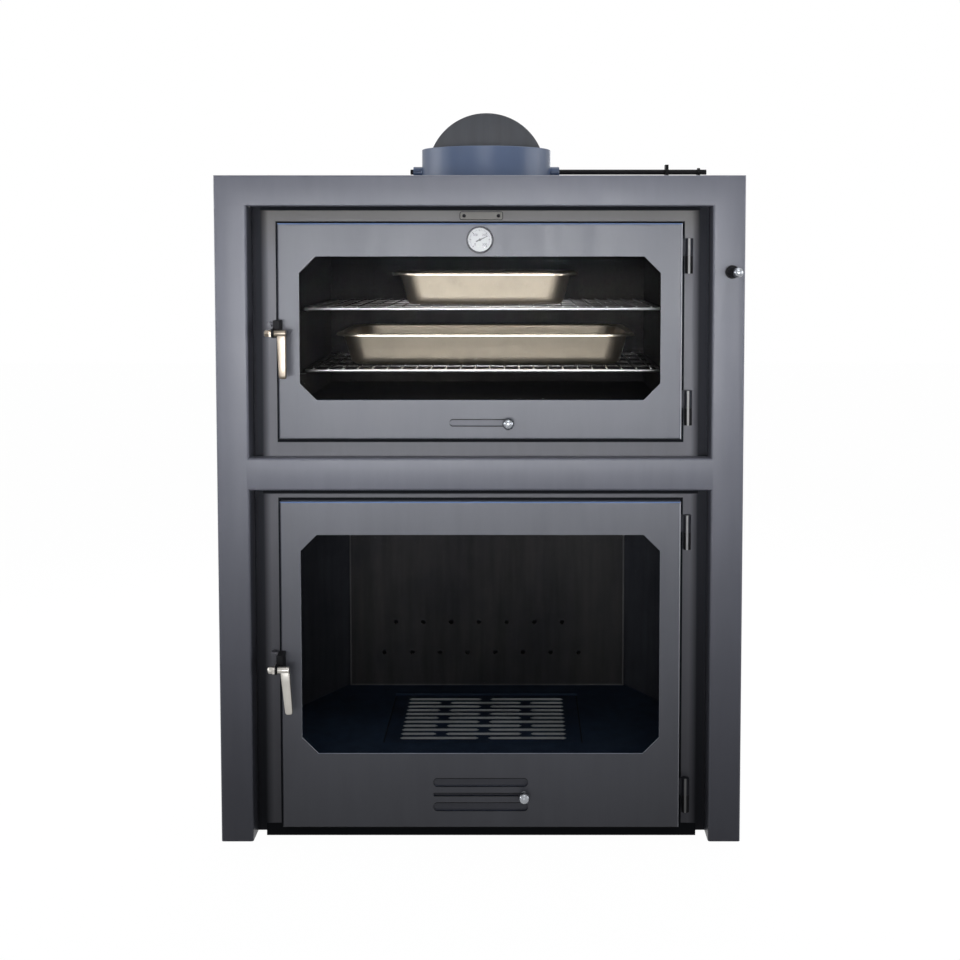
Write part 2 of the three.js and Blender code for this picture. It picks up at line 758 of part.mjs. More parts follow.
function makePull() {
  const yokeDepth = flueDepth + crankSwing;
  const slotHalf = crankPinRadius + yokeSlotPlay;
  const slotTop = damperHeight - crankLength * Math.cos(crankRestAngle) + crankPinRadius + yokeSlotPlay;
  const slotBottom = damperHeight - crankLength - crankPinRadius - yokeSlotPlay;
  const slot = extrusion("x",
    roundedRectangle([yokeDepth - slotHalf, yokeDepth + slotHalf], [slotBottom, slotTop], slotHalf),
    [yokeInner - overrun, yokeOuter + overrun]);
  const yokeHalf = slotHalf + yokeRim;
  const plateDepth = [yokeDepth - yokeHalf, yokeDepth + yokeHalf];
  const plateHeight = [rodHeight - yokeRim, slotTop + yokeRim];
  const plate = extrusion("x", roundedRectangle(plateDepth, plateHeight, yokeRim), [yokeInner, yokeOuter]);
  const ballCentre = -pullReach;
  const line = [rodX, rodHeight];
  const shankFront = ballCentre + pullBallRadius + seatGap;
  const shank = rod("y", line, [shankFront, yokeDepth], rodRadius, smallSides);
  const pull = shank.add(cut(plate, [slot]));

  const ferruleFront = -ferruleLength;
  const ferruleProfile = [
    [0, ferruleFront], [ferruleRadius * ferruleNoseShare, ferruleFront],
    [ferruleRadius, ferruleFront + frameSheet], [ferruleRadius, recessDepth], [0, recessDepth],
  ];
  const ferruleForm = turnedAlongY(ferruleProfile, roundSides).translate([rodX, 0, rodHeight]);
  const shoulderDepth = [-frameSheet - seatGap, -seatGap];
  const shoulder = rod("y", line, shoulderDepth, ferruleRadius + frameSheet, roundSides);
  const boreDepth = [ferruleFront - overrun, recessDepth + overrun];
  const ferruleBore = bore("y", line, boreDepth, rodRadius, smallSides);
  const ferrule = cut(ferruleForm.add(shoulder), [ferruleBore]);

  const ball = solid(new THREE.SphereGeometry(pullBallRadius, roundSides, ballRings));
  const knob = ball.translate([rodX, ballCentre, rodHeight]);
  return [
    piece("pull_rod", pull, blackSteel),
    piece("pull_knob", knob, chrome),
    piece("rod_ferrule", ferrule, blackSteel),
  ];
}

// Oven chamber

function makeOven() {
  const chamberBack = ovenBackFace - seatGap;
  const depth = [chamberFront, chamberBack];
  const floorTop = ovenFloorTop;
  const outer = ovenHalfWidth + ovenSheet;
  const sideReach = bodyInner - seatGap;
  const floorSheet = [floorTop - ovenSheet, floorTop];
  const behindLips = [chamberFront + grooveDepth + casingSheet, ovenBackFace + ovenSheet];
  const floor = block(mirrored(sideReach), behindLips, floorSheet);
  const frontReach = faceHalf - plateSheet - seatGap;
  const frontFloor = block(mirrored(frontReach), [chamberFront, ovenBackFace], floorSheet);
  const roof = block(mirrored(outer), [chamberFront, ovenBackFace + ovenSheet],
    [ovenRoofBottom, ovenRoofBottom + ovenSheet]);
  const wallHeight = [floorTop + seatGap, ovenRoofBottom - seatGap];
  const ledgeLevels = [lowerRackHeight, upperRackHeight].map((z) => z - rackRimRadius - seatGap);
  const wall = (side) => {
    const sheet = side > 0 ? [ovenHalfWidth, outer] : [-outer, -ovenHalfWidth];
    const ledgeInner = ovenHalfWidth - rackLedgeWidth;
    const ledge = side > 0 ? [ledgeInner, outer] : [-outer, -ledgeInner];
    const ledgeDepth = [rackFront - rackLedgeWidth, chamberBack];
    const ledges = ledgeLevels.map((z) => block(ledge, ledgeDepth, [z - rackLedgeSheet, z]));
    return joined([block(sheet, depth, wallHeight), ...ledges]);
  };
  const back = block(mirrored(outer), [ovenBackFace, ovenBackFace + ovenSheet], wallHeight);
  return [
    piece("oven_floor", floor.add(frontFloor), chamberSteel),
    piece("oven_roof", roof, chamberSteel),
    piece("oven_left_wall", wall(-1), chamberSteel),
    piece("oven_right_wall", wall(1), chamberSteel),
    piece("oven_back_wall", back, chamberSteel),
  ];
}

// A wire rack: a round rim, cross wires under it and long wires laid on top from front to back.
function makeRack(name, height) {
  const halfIn = rackHalfWidth - rackRimRadius;
  const front = rackFront + rackRimRadius;
  const back = rackBack - rackRimRadius;
  const rims = [
    rod("x", [front, height], mirrored(rackHalfWidth), rackRimRadius, wireSides),
    rod("x", [back, height], mirrored(rackHalfWidth), rackRimRadius, wireSides),
    rod("y", [-halfIn, height], [rackFront, rackBack], rackRimRadius, wireSides),
    rod("y", [halfIn, height], [rackFront, rackBack], rackRimRadius, wireSides),
  ];
  const wireHeight = height + rackRimRadius + rackWireRadius - wireSink;
  const spaces = Math.floor((2 * (halfIn - rackWirePitch / 2)) / rackWirePitch);
  const wires = [];
  for (let i = 0; i <= spaces; i += 1) {
    const x = (i - spaces / 2) * rackWirePitch;
    wires.push(rod("y", [x, wireHeight], [rackFront, rackBack], rackWireRadius, wireSides));
  }
  const crosses = [];
  for (let i = 1; i <= rackCrossCount; i += 1) {
    const y = front + ((back - front) * i) / (rackCrossCount + 1);
    crosses.push(rod("x", [y, height], mirrored(halfIn), rackRimRadius, wireSides));
  }
  return piece(name, joined([...rims, ...crosses, ...wires]), chrome);
}

// A drawn pan: tapering walls with round corners, and a flat rim with a turned lip.
function panSolid(width, depth, cornerInset, floorInset, floorZ, topZ) {
  const topHalf = [width / 2 - cornerInset, depth / 2 - cornerInset];
  const rings = [
    { inset: panTaper + floorInset, z: floorZ, corner: panCorner - panFloorCorner / 2 },
    { inset: panTaper, z: floorZ + floorInset, corner: panCorner },
    { inset: 0, z: topZ, corner: panCorner },
  ];
  const loops = rings.map(({ inset, z, corner }) => roundedRectangle(
    mirrored(topHalf[0] - inset), mirrored(topHalf[1] - inset), corner).map((p) => [p.x, p.y, z]));
  return loft(loops);
}

// A closed skin through loops of equal count, with a flat fan at each end.
function loft(loops) {
  const count = loops[0].length;
  const points = loops.flat();
  const triangles = [];
  for (let ring = 0; ring + 1 < loops.length; ring += 1) {
    for (let i = 0; i < count; i += 1) {
      const next = (i + 1) % count;
      const a = ring * count + i;
      const b = ring * count + next;
      triangles.push(a, b, b + count, a, b + count, a + count);
    }
  }
  const last = (loops.length - 1) * count;
  for (let i = 1; i + 1 < count; i += 1) {
    triangles.push(0, i + 1, i);
    triangles.push(last, last + i, last + i + 1);
  }
  const geometry = new THREE.BufferGeometry();
  geometry.setAttribute("position", new THREE.Float32BufferAttribute(points.flat(), cornersOfTriangle));
  geometry.setIndex(triangles);
  return solid(geometry);
}

function makePan(name, width, depth, front, rackHeight) {
  const floorZ = rackHeight + rackRimRadius + 2 * rackWireRadius - wireSink + seatGap;
  const rimTop = floorZ + panDepthBelowRim;
  const shell = panSolid(width, depth, panRimWidth, panFloorCorner, floorZ, rimTop - panWall / 2);
  const rimCorner = panCorner + panRimWidth;
  const outline = roundedRectangle(centred(width), centred(depth), rimCorner);
  const rim = extrusion("z", outline, [rimTop - panWall, rimTop]);
  const lip = extrusion("z", outline, [rimTop - panRimLip, rimTop - panWall / 2]);
  const innerSides = [centred(width - 2 * panWall), centred(depth - 2 * panWall)];
  const innerOutline = roundedRectangle(...innerSides, rimCorner - panWall);
  const lipInner = extrusion("z", innerOutline, [rimTop - panRimLip - overrun, rimTop]);
  const hollowRim = panRimWidth + panWall;
  const hollow = panSolid(width, depth, hollowRim, panFloorCorner, floorZ + panWall, rimTop + overrun);
  const body = cut(joined([shell, rim, cut(lip, [lipInner])]), [hollow]);
  const pan = piece(name, body, panSteel);
  pan.position.set(panCentreX, front + depth / 2, 0);
  return pan;
}

// Firebox

function makeFirebox() {
  const frontHalf = liningFrontHalf;
  const lowerEdge = baseHeight + casingSheet + seatGap;
  const turn = liningTurnDepth;
  const slope = new THREE.Vector2(liningBackHalf - frontHalf, backLiningFace - turn).normalize();
  const outward = new THREE.Vector2(slope.y, -slope.x).multiplyScalar(liningThickness);
  const liningOutline = polygon([
    [frontHalf, lipFront + casingSheet + seatGap], [frontHalf, turn], [liningBackHalf, backLiningFace],
    [liningBackHalf + outward.x, backLiningFace + outward.y],
    [frontHalf + liningThickness, turn + outward.y / 2],
    [frontHalf + liningThickness, lipFront + casingSheet + seatGap],
  ]);
  const liningHeight = [fireFloorTop + seatGap, liningTop];
  const right = extrusion("z", liningOutline, liningHeight);
  const left = extrusion("z", liningOutline.map((p) => new THREE.Vector2(-p.x, p.y)), liningHeight);

  const sideReach = bodyInner - seatGap;
  const floorFront = [faceHalf - plateSheet - seatGap, chamberFront];
  const floorOutline = polygon([
    [-floorFront[0], floorFront[1]], [floorFront[0], floorFront[1]],
    [floorFront[0], lipFront + casingSheet + seatGap], [sideReach, lipFront + casingSheet + seatGap],
    [sideReach, backPanelFront - seatGap], [-sideReach, backPanelFront - seatGap],
    [-sideReach, lipFront + casingSheet + seatGap], [-floorFront[0], lipFront + casingSheet + seatGap],
  ]);
  const floorBottom = fireFloorTop - fireFloorSheet;
  const seat = block(mirrored(grateHalfWidth), [grateFront, grateBack],
    [fireFloorTop - fireFloorSheet / 2, fireFloorTop + overrun]);
  const wellDepth = widened([grateFront, grateBack], -grateRebate);
  const wellHeight = widened([floorBottom, fireFloorTop], overrun);
  const well = block(mirrored(grateHalfWidth - grateRebate), wellDepth, wellHeight);
  const floor = cut(extrusion("z", floorOutline, [floorBottom, fireFloorTop]), [seat, well]);

  const backDepth = [backLiningFace - backLiningSheet - seatGap, backLiningFace - seatGap];
  const throughBack = widened(backDepth, overrun);
  const holes = airHoleRows.flatMap(({ height, count, middle }) => Array.from({ length: count }, (_, i) =>
    rod("y", [middle + (i - (count - 1) / 2) * airHolePitch, height], throughBack,
      airHoleRadius, holeSides)));
  const backHeight = [fireFloorTop + seatGap, backLiningTop];
  const back = cut(block(mirrored(liningBackHalf), backDepth, backHeight), holes);
  return [
    piece("fire_floor", floor, fireSteel),
    piece("left_lining", left, fireSteel),
    piece("right_lining", right, fireSteel),
    piece("back_lining", back, fireSteel),
  ];
}

// Cast grate: slots in a brick pattern, two long ones in one row and three in the next.
function makeGrate() {
  const play = seatGap;
  const top = fireFloorTop - grateSink;
  const seatLevel = fireFloorTop - fireFloorSheet / 2 + seatGap;
  const flange = block(mirrored(grateHalfWidth - play), [grateFront + play, grateBack - play],
    [seatLevel, top]);
  const webHalf = grateHalfWidth - grateRebate - 2 * play;
  const webDepth = widened([grateFront, grateBack], -grateRebate - 2 * play);
  const web = block(mirrored(webHalf), webDepth, [top - grateThickness, top]);
  const middle = (grateFront + grateBack) / 2;
  const halfField = grateSlotField / 2;
  const break1 = grateSlotField * grateBreakShare;
  const slots = [];
  for (let row = 0; row < grateSlotRows; row += 1) {
    const y = middle + (row - (grateSlotRows - 1) / 2) * grateSlotPitch;
    const breaks = row % 2 === 0 ? [-halfField, 0, halfField] : [-halfField, -break1, break1, halfField];
    for (let i = 0; i + 1 < breaks.length; i += 1) {
      const from = breaks[i] + (i === 0 ? 0 : grateSlotLand / 2);
      const to = breaks[i + 1] - (i + 2 === breaks.length ? 0 : grateSlotLand / 2);
      const across = widened([y, y], grateSlotWidth / 2);
      const outline = roundedRectangle([from, to], across, grateSlotWidth / 2, slotSteps);
      slots.push(extrusion("z", outline, widened([top - grateThickness, top], overrun)));
    }
  }
  return piece("grate", cut(flange.add(web), slots), castIron);
}

function makeAshPan() {
  const bottom = baseHeight + casingSheet + seatGap;
  const depth = [ashPanFront, ashPanFront + ashPanLength];
  const outer = block(mirrored(ashPanHalfWidth), depth, [bottom, bottom + ashPanHeight]);
  const hollowHeight = [bottom + ashPanWall, bottom + ashPanHeight + overrun];
  const hollow = block(mirrored(ashPanHalfWidth - ashPanWall), widened(depth, -ashPanWall), hollowHeight);
  const gripTop = bottom + ashPanHeight;
  const gripWidth = centred(ashPanGripWidth);
  const gripFront = ashPanFront - ashPanGripReach;
  const grip = joined([
    block(gripWidth, [gripFront, ashPanFront + ashPanWall], [gripTop - ashPanWall, gripTop]),
    block(gripWidth, [gripFront, gripFront + ashPanWall], [gripTop - ashPanGripReach, gripTop]),
  ]);
  return piece("ash_pan", cut(outer, [hollow]).add(grip), galvanised);
}

// Doors: each is built about its hinge axis, and its group stands on that axis.

const toHinge = [-hingeX, -hingeDepth, 0];

function doorShell(bottom, top, windowHalf, windowBottom, windowTop) {
  const x = mirrored(doorHalfWidth);
  const z = [bottom, top];
  const rounded = new THREE.ExtrudeGeometry(
    new THREE.Shape(polygon([
      [x[0] + doorBend, z[0] + doorBend], [x[1] - doorBend, z[0] + doorBend],
      [x[1] - doorBend, z[1] - doorBend], [x[0] + doorBend, z[1] - doorBend],
    ])),
    { depth: doorDepth, bevelThickness: doorBend, bevelSize: doorBend, bevelSegments: bendSteps });
  rounded.rotateX(quarterTurn);
  rounded.translate(0, doorFace + doorBend + doorDepth, 0);
  const behind = block(widened(x, overrun), [doorBack, doorBack + doorDepth], widened(z, overrun));
  const band = doorSheet + doorBand;
  const troughDepth = [doorInside + doorBandDepth, doorBack + overrun];
  const trough = block(widened(x, -doorSheet), troughDepth, widened(z, -doorSheet));
  const pocket = block(widened(x, -band), [doorInside, doorBack + overrun], widened(z, -band));
  const windowOutline = chamferedRectangle(mirrored(windowHalf), [windowBottom, windowTop], windowChamfer);
  const window = extrusion("y", windowOutline, widened([doorFace, doorInside], overrun));
  return cut(solid(rounded), [behind, trough, pocket, window]);
}

function slotThrough(x, height, tall) {
  return extrusion("y", roundedRectangle(x, [height - tall / 2, height + tall / 2], tall * slotRoundShare),
    [doorFace - overrun, doorInside + overrun]);
}

function runners(x, levels) {
  const depth = [doorInside - doorSheet / 2, doorInside + slidePlate + 2 * seatGap];
  const keepDepth = [depth[1], depth[1] + slidePlate];
  return levels.flatMap(([z, towards]) => {
    const rail = towards > 0 ? [z, z + runnerTall] : [z - runnerTall, z];
    const keep = towards > 0 ? [z - runnerTall / 2, z + runnerTall] : [z - runnerTall, z + runnerTall / 2];
    return [block(x, depth, rail), block(x, keepDepth, keep)];
  });
}

function glassAndFittings(prefix, bottom, top, windowHalf, windowBottom, windowTop) {
  const glassX = mirrored(windowHalf + glassOverlap);
  const glassZ = [windowBottom - glassOverlap, windowTop + glassOverlap];
  const glassDepth = [doorInside + seatGap, doorInside + seatGap + glassThickness];
  const glass = extrusion("y", chamferedRectangle(glassX, glassZ, windowChamfer), glassDepth);
  const retainerDepth = [glassDepth[1] + seatGap, glassDepth[1] + seatGap + retainerThickness];
  const ring = retainerWidth / 2;
  const aroundGlass = [glassX, glassZ].map((range) => widened(range, ring / 2));
  const retainerOuter = chamferedRectangle(...aroundGlass, windowChamfer);
  const insideGlass = [glassX, glassZ].map((range) => widened(range, -ring));
  const retainerInner = chamferedRectangle(...insideGlass, windowChamfer);
  const retainer = cut(extrusion("y", retainerOuter, retainerDepth),
    [extrusion("y", retainerInner, [retainerDepth[0] - overrun, retainerDepth[1] + overrun])]);

  const sealInset = doorSheet + seatGap + sealWidth / 2;
  const sealDepth = [doorInside + doorBandDepth + seatGap, recessDepth - seatGap];
  const sealHalf = doorHalfWidth - sealInset;
  const sealZ = [bottom + sealInset, top - sealInset];
  const half = sealWidth / 2;
  const sealOuter = roundedRectangle(mirrored(sealHalf + half), widened(sealZ, half), sealWidth);
  const sealInner = roundedRectangle(mirrored(sealHalf - half), widened(sealZ, -half), half);
  const seal = cut(extrusion("y", sealOuter, sealDepth),
    [extrusion("y", sealInner, [sealDepth[0] - overrun, sealDepth[1] + overrun])]);
  return [
    piece(`${prefix}_glass`, glass, clearGlass),
    piece(`${prefix}_glass_retainer`, retainer, blackSteel),
    piece(`${prefix}_seal`, seal, ropeSeal),
  ];
}

// Moving half of a hinge: the upper barrel and the leaf that is welded to the door's side.
function doorHinge(name, bottom) {
  const split = bottom + hingeLength * (1 - hingeUpperShare);
  const barrelZ = [split + seatGap, bottom + hingeLength];
  const barrel = rod("z", [hingeX, hingeDepth], barrelZ, barrelRadius, roundSides);
  const leafDepth = [hingeDepth - hingeLeaf / 2, hingeDepth + hingeLeaf / 2];
  const leaf = block([doorHalfWidth + seatGap, hingeX], leafDepth, barrelZ);
  const holeZ = [barrelZ[0] - overrun, barrelZ[1] - hingeLeaf];
  const hole = bore("z", [hingeX, hingeDepth], holeZ, hingePinRadius, smallSides);
  return piece(name, cut(joined([barrel, leaf]), [hole]), satinPaint);
}

// Fixed half of a hinge: the lower barrel with its pin, on a leaf that is welded to the face plate.
function fixedHinge(name, bottom) {
  const split = bottom + hingeLength * (1 - hingeUpperShare);
  const barrel = rod("z", [hingeX, hingeDepth], [bottom, split], barrelRadius, roundSides);
  const leaf = block([hingeX - hingeLeaf / 2, hingeX + hingeLeaf / 2], [hingeDepth, recessDepth - seatGap],
    [bottom, split]);
  const pinTop = bottom + hingeLength - hingeLeaf - pinGap;
  const pin = rod("z", [hingeX, hingeDepth], [bottom, pinTop], hingePinRadius, smallSides);
  return piece(name, joined([barrel, leaf, pin]), blackSteel);
}

function ballKnob(name, x, height, plateBack) {
  const tip = doorFace - knobReach - knobBallRadius;
  const centre = doorFace - knobReach;
  const waist = doorFace - seatGap;
  const sphere = solid(new THREE.SphereGeometry(knobBallRadius, roundSides, ballRings));
  const ball = sphere.translate([x, centre, height]);
  const neck = rod("y", [x, height], [centre, waist], knobCollarRadius, smallSides);
  const stem = rod("y", [x, height], [centre, plateBack - seatGap], knobStemRadius, smallSides);
  return tip < centre ? piece(name, joined([ball, neck, stem]), chrome) : null;
}

function slideGroup(children) {
  const group = new THREE.Group();
  group.add(...children);
  return group;
}

function ventSlide() {
  const depth = [doorInside + seatGap, doorInside + seatGap + slidePlate];
  const half = ventPlateHeight / 2;
  const plateHeight = widened([ventHeight, ventHeight], half);
  const plate = block(mirrored(ventHalfWidth + ventPlateOverlap), depth, plateHeight);
  return slideGroup([
    piece("oven_vent_slide", plate, satinPaint),
    ballKnob("oven_vent_knob", ventKnobX, ventHeight, depth[0]),
  ]);
}

function airSlide() {
  const depth = [doorInside + seatGap, doorInside + seatGap + slidePlate];
  const plate = block(mirrored(airHalfWidth + airPlateOverlap), depth, [airPlateBottom, airPlateTop]);
  return slideGroup([
    piece("air_slide", plate, satinPaint),
    ballKnob("air_knob", airKnobX, airGuideHeight, depth[0]),
  ]);
}

// Handle bracket: a block on the door's face with a lug that carries the axle.
function handleBracket(name, height) {
  const back = doorFace - seatGap;
  const bodyZ = [height - bracketDrop, height + bracketRise];
  const body = block([lugLeft, bracketRight], [back - bracketReach, back], bodyZ);
  const lugPlate = block([lugLeft, lugRight], [handlePivotDepth, back - bracketReach / 2],
    [height - lugRadius, height + lugRadius]);
  const lugRound = rod("x", [handlePivotDepth, height], [lugLeft, lugRight], lugRadius, roundSides);
  const boreX = widened([lugLeft, lugRight], overrun);
  const axleBore = bore("x", [handlePivotDepth, height], boreX, axleRadius, smallSides);
  return piece(name, cut(joined([body, lugPlate, lugRound]), [axleBore]), blackSteel);
}

// Handle: hub, grip, axle, hook and bolt head, drawn about the pivot.
function handleSolid(lean) {
  const hub = rod("x", [0, 0], [hubLeft, hubRight], hubRadius, roundSides);
  const grip = extrusion("z",
    roundedRectangle([hubRight - gripWidth, hubRight], centred(gripThickness), gripRound), [-gripLength, 0]);
  const tilt = new THREE.Vector3(0, -lean, 0);
  const turned = grip.translate([-hubRight, 0, 0]).rotate(tilt.toArray()).translate([hubRight, 0, 0]);
  const hookX = [lugLeft - seatGap - hookThickness, lugLeft - seatGap];
  const axle = rod("x", [0, 0], [hookX[0], hubRight - gripWidth / 2], axleRadius, smallSides);
  const headX = [hookX[0] - boltHeadLength, hookX[0]];
  const head = rod("x", [0, 0], headX, boltHeadRadius, roundSides);
  const pinBack = keeperDepth + keeperRadius - handlePivotDepth;
  const noseFront = pinBack + hookNoseGap;
  const noseBack = noseFront + hookNoseLength;
  const noseTop = keeperRise - keeperRadius - keeperClear;
  const armFoot = hookArmTop - hookArmHeight;
  const shoulder = lugRadius * hookShoulderShare;
  const hook = extrusion("x", polygon([
    [-shoulder, armFoot], [noseBack, armFoot], [noseBack, noseTop], [noseFront, noseTop],
    [noseFront, hookArmTop], [lugRadius, hookArmTop], [0, shoulder], [-shoulder, hookArmTop],
  ]), hookX);
  return joined([hub, turned, axle, head, hook]);
}

function makeHandle(name, height, lean) {
  const handle = piece(name, handleSolid(lean), brightSteel);
  handle.position.set(0, handlePivotDepth, height);
  return handle;
}

// Thermometer: a cup with a bezel and stem, the dial and the needle.
function makeThermometer() {
  const back = doorFace - seatGap;
  const front = back - gaugeDepth;
  const dialBack = front + gaugeDialSink + gaugeDialSheet;
  const bowl = gaugeRadius - gaugeBezel;
  const bezelInner = gaugeRadius - gaugeBezel / 2;
  const cup = turnedAlongY([
    [0, back + gaugeStemLength], [gaugeStemRadius, back + gaugeStemLength], [gaugeStemRadius, back],
    [bezelInner, back], [gaugeRadius, back - gaugeBezel], [gaugeRadius, front + gaugeBezel / 2],
    [bezelInner, front], [bowl, front], [bowl, dialBack + seatGap], [0, dialBack + seatGap],
  ], roundSides);
  const dial = rod("y", [0, 0], [dialBack - gaugeDialSheet, dialBack], bowl - seatGap, roundSides);
  const needleBack = dialBack - gaugeDialSheet - seatGap;
  const needleDepth = [needleBack - needleThickness, needleBack];
  const half = needleWidth / 2;
  const pointer = extrusion("y", polygon([
    [-needleTail, -half], [0, -half], [needleLength, -half / 2], [needleLength, half / 2], [0, half],
    [-needleTail, half],
  ]), needleDepth);
  const needleHub = rod("y", [0, 0], needleDepth, needleHubRadius, smallSides);
  const needle = piece("thermometer_needle", pointer.add(needleHub), needleBlack);
  needle.rotation.y = -needleAngle * THREE.MathUtils.DEG2RAD;
  const group = new THREE.Group();
  group.position.set(gaugeX, 0, gaugeHeight);
  group.add(piece("thermometer_case", cup, brightSteel), piece("thermometer_dial", dial, dialWhite), needle);
  return group;
}

function onHinge(children) {
  const carried = new THREE.Group();
  carried.position.set(...toHinge);
  carried.add(...children);
  const group = new THREE.Group();
  group.position.set(hingeX, hingeDepth, 0);
  group.add(carried);
  return group;
}

function makeOvenDoor() {
  const opening = [ovenWindowHalf, ovenWindowBottom, ovenWindowTop];
  const shell = doorShell(ovenDoorBottom, ovenDoorTop, ...opening);
  const vent = slotThrough(mirrored(ventHalfWidth), ventHeight, ventSlotHeight);
  const throughDoor = widened([doorFace, doorInside], overrun);
  const stemHole = bore("y", [gaugeX, gaugeHeight], throughDoor, gaugeStemRadius, smallSides);
  const half = ventPlateHeight / 2 + seatGap;
  const plateEnd = ventHalfWidth + ventPlateOverlap;
  const guideX = [-plateEnd - ventTravel, plateEnd];
  const guides = runners(guideX, [[ventHeight + half, 1], [ventHeight - half, -1]]);
  const door = joined([cut(shell, [vent, stemHole]), ...guides]);
  return onHinge([
    piece("oven_door", door, satinPaint),
    ...glassAndFittings("oven", ovenDoorBottom, ovenDoorTop, ...opening),
    doorHinge("oven_hinge_lower", ovenHingeBottoms[0]),
    doorHinge("oven_hinge_upper", ovenHingeBottoms[1]),
    ventSlide(),
    handleBracket("oven_handle_bracket", ovenHandleHeight),
    makeHandle("oven_handle", ovenHandleHeight, 0),
    makeThermometer(),
  ]);
}

function makeFireDoor() {
  const opening = [fireWindowHalf, fireWindowBottom, fireWindowTop];
  const shell = doorShell(fireDoorBottom, fireDoorTop, ...opening);
  const slots = airSlotHeights.map((height) => slotThrough(mirrored(airHalfWidth), height, airSlotTall));
  const guideSlot = slotThrough(mirrored(airHalfWidth), airGuideHeight, airGuideTall);
  const plateEnd = airHalfWidth + airPlateOverlap;
  const guideX = [-plateEnd - airTravel, plateEnd];
  const guides = runners(guideX, [[airPlateTop + seatGap, 1], [airPlateBottom - seatGap, -1]]);
  const door = joined([cut(shell, [...slots, guideSlot]), ...guides]);
  return onHinge([
    piece("fire_door", door, satinPaint),
    ...glassAndFittings("fire", fireDoorBottom, fireDoorTop, ...opening),
    doorHinge("fire_hinge_lower", fireHingeBottoms[0]),
    doorHinge("fire_hinge_upper", fireHingeBottoms[1]),
    airSlide(),
    handleBracket("fire_handle_bracket", fireHandleHeight),
    makeHandle("fire_handle", fireHandleHeight, fireGripLean),
  ]);
}

// The whole stove, moved so that its origin is under the middle of its length and width

const stove = new THREE.Group();
stove.add(
  ...makeFrame(),
  makeFacePlate(),
  ...makeCasing(),
  makeCollar(),
  ...makeThrottle(),
  ...makePull(),
  ...makeOven(),
  makeRack("lower_rack", lowerRackHeight),
  makeRack("upper_rack", upperRackHeight),
  makePan("large_pan", largePanWidth, largePanDepth, largePanFront, lowerRackHeight),
  makePan("small_pan", smallPanWidth, smallPanDepth, smallPanFront, upperRackHeight),
  ...makeFirebox(),
  makeGrate(),
  makeAshPan(),
  fixedHinge("oven_hinge_lower_pin", ovenHingeBottoms[0]),
  fixedHinge("oven_hinge_upper_pin", ovenHingeBottoms[1]),
  fixedHinge("fire_hinge_lower_pin", fireHingeBottoms[0]),
  fixedHinge("fire_hinge_upper_pin", fireHingeBottoms[1]),
  makeOvenDoor(),
  makeFireDoor(),
);
const frontmost = -(pullReach + pullBallRadius);
stove.position.y = -(frontmost + bodyDepth) / 2;

export default stove;
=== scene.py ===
"""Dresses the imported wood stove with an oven: fine shapes, finishes, soft lamps and the camera.

Lengths are metres in the row's frame: x to the right, y to the back, z up from the floor.
"""
from __future__ import annotations

import logging
import math
from dataclasses import dataclass
from enum import Enum
from typing import Any, Sequence

import bpy
import numpy as np
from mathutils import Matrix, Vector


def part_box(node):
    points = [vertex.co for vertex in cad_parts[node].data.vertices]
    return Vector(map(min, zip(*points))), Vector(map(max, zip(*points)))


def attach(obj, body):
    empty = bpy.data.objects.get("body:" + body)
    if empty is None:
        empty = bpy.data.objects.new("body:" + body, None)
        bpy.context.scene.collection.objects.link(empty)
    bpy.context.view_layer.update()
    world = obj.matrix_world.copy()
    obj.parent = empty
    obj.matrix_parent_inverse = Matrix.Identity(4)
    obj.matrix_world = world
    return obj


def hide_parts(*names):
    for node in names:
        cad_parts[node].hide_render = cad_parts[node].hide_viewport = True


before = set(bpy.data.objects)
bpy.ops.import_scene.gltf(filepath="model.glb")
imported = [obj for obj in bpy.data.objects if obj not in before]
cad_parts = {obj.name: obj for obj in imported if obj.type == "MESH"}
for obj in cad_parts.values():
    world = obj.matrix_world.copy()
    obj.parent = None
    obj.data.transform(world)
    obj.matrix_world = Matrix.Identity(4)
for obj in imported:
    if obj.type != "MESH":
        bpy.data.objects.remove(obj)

LOG = logging.getLogger("stove")
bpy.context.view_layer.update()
FULL_TURN = 2 * math.pi
SMOOTH_ANGLE = math.radians(35)
BEVEL_SEGMENTS = 3
SCREEN_FULL = 255
SCREEN_KNEE = 0.04045
SCREEN_SLOPE = 12.92
SCREEN_OFFSET = 0.055
SCREEN_POWER = 2.4
NOISE_RANGE = (0.3, 0.7)
WHITE = (1.0, 1.0, 1.0, 1.0)

Colour = tuple[float, float, float, float]
Triple = tuple[float, float, float]
Pair = tuple[float, float]


# Colours

def linear(red: float, green: float, blue: float, share: float = 1.0) -> Colour:
    """Turn a colour on the usual 0 to 255 screen scale into a linear one.

    Args:
        red: Red on the screen scale.
        green: Green on the screen scale.
        blue: Blue on the screen scale.
        share: What the linear colour is multiplied by.

    Returns:
        Linear red, green, blue and an alpha of 1.
    """
    scaled = np.array([red, green, blue]) / SCREEN_FULL
    low = scaled / SCREEN_SLOPE
    high = ((scaled + SCREEN_OFFSET) / (1 + SCREEN_OFFSET)) ** SCREEN_POWER
    return (*(np.where(scaled <= SCREEN_KNEE, low, high) * share).tolist(), 1.0)


# Shader maths

@dataclass(frozen=True)
class Cloud:
    """Fractal noise: waves a metre, detail, the range over which it comes in, and a stretch."""

    waves: float
    detail: float = 2.0
    span: Pair = NOISE_RANGE
    stretch: Triple = (1.0, 1.0, 1.0)
    roughness: float = 0.55


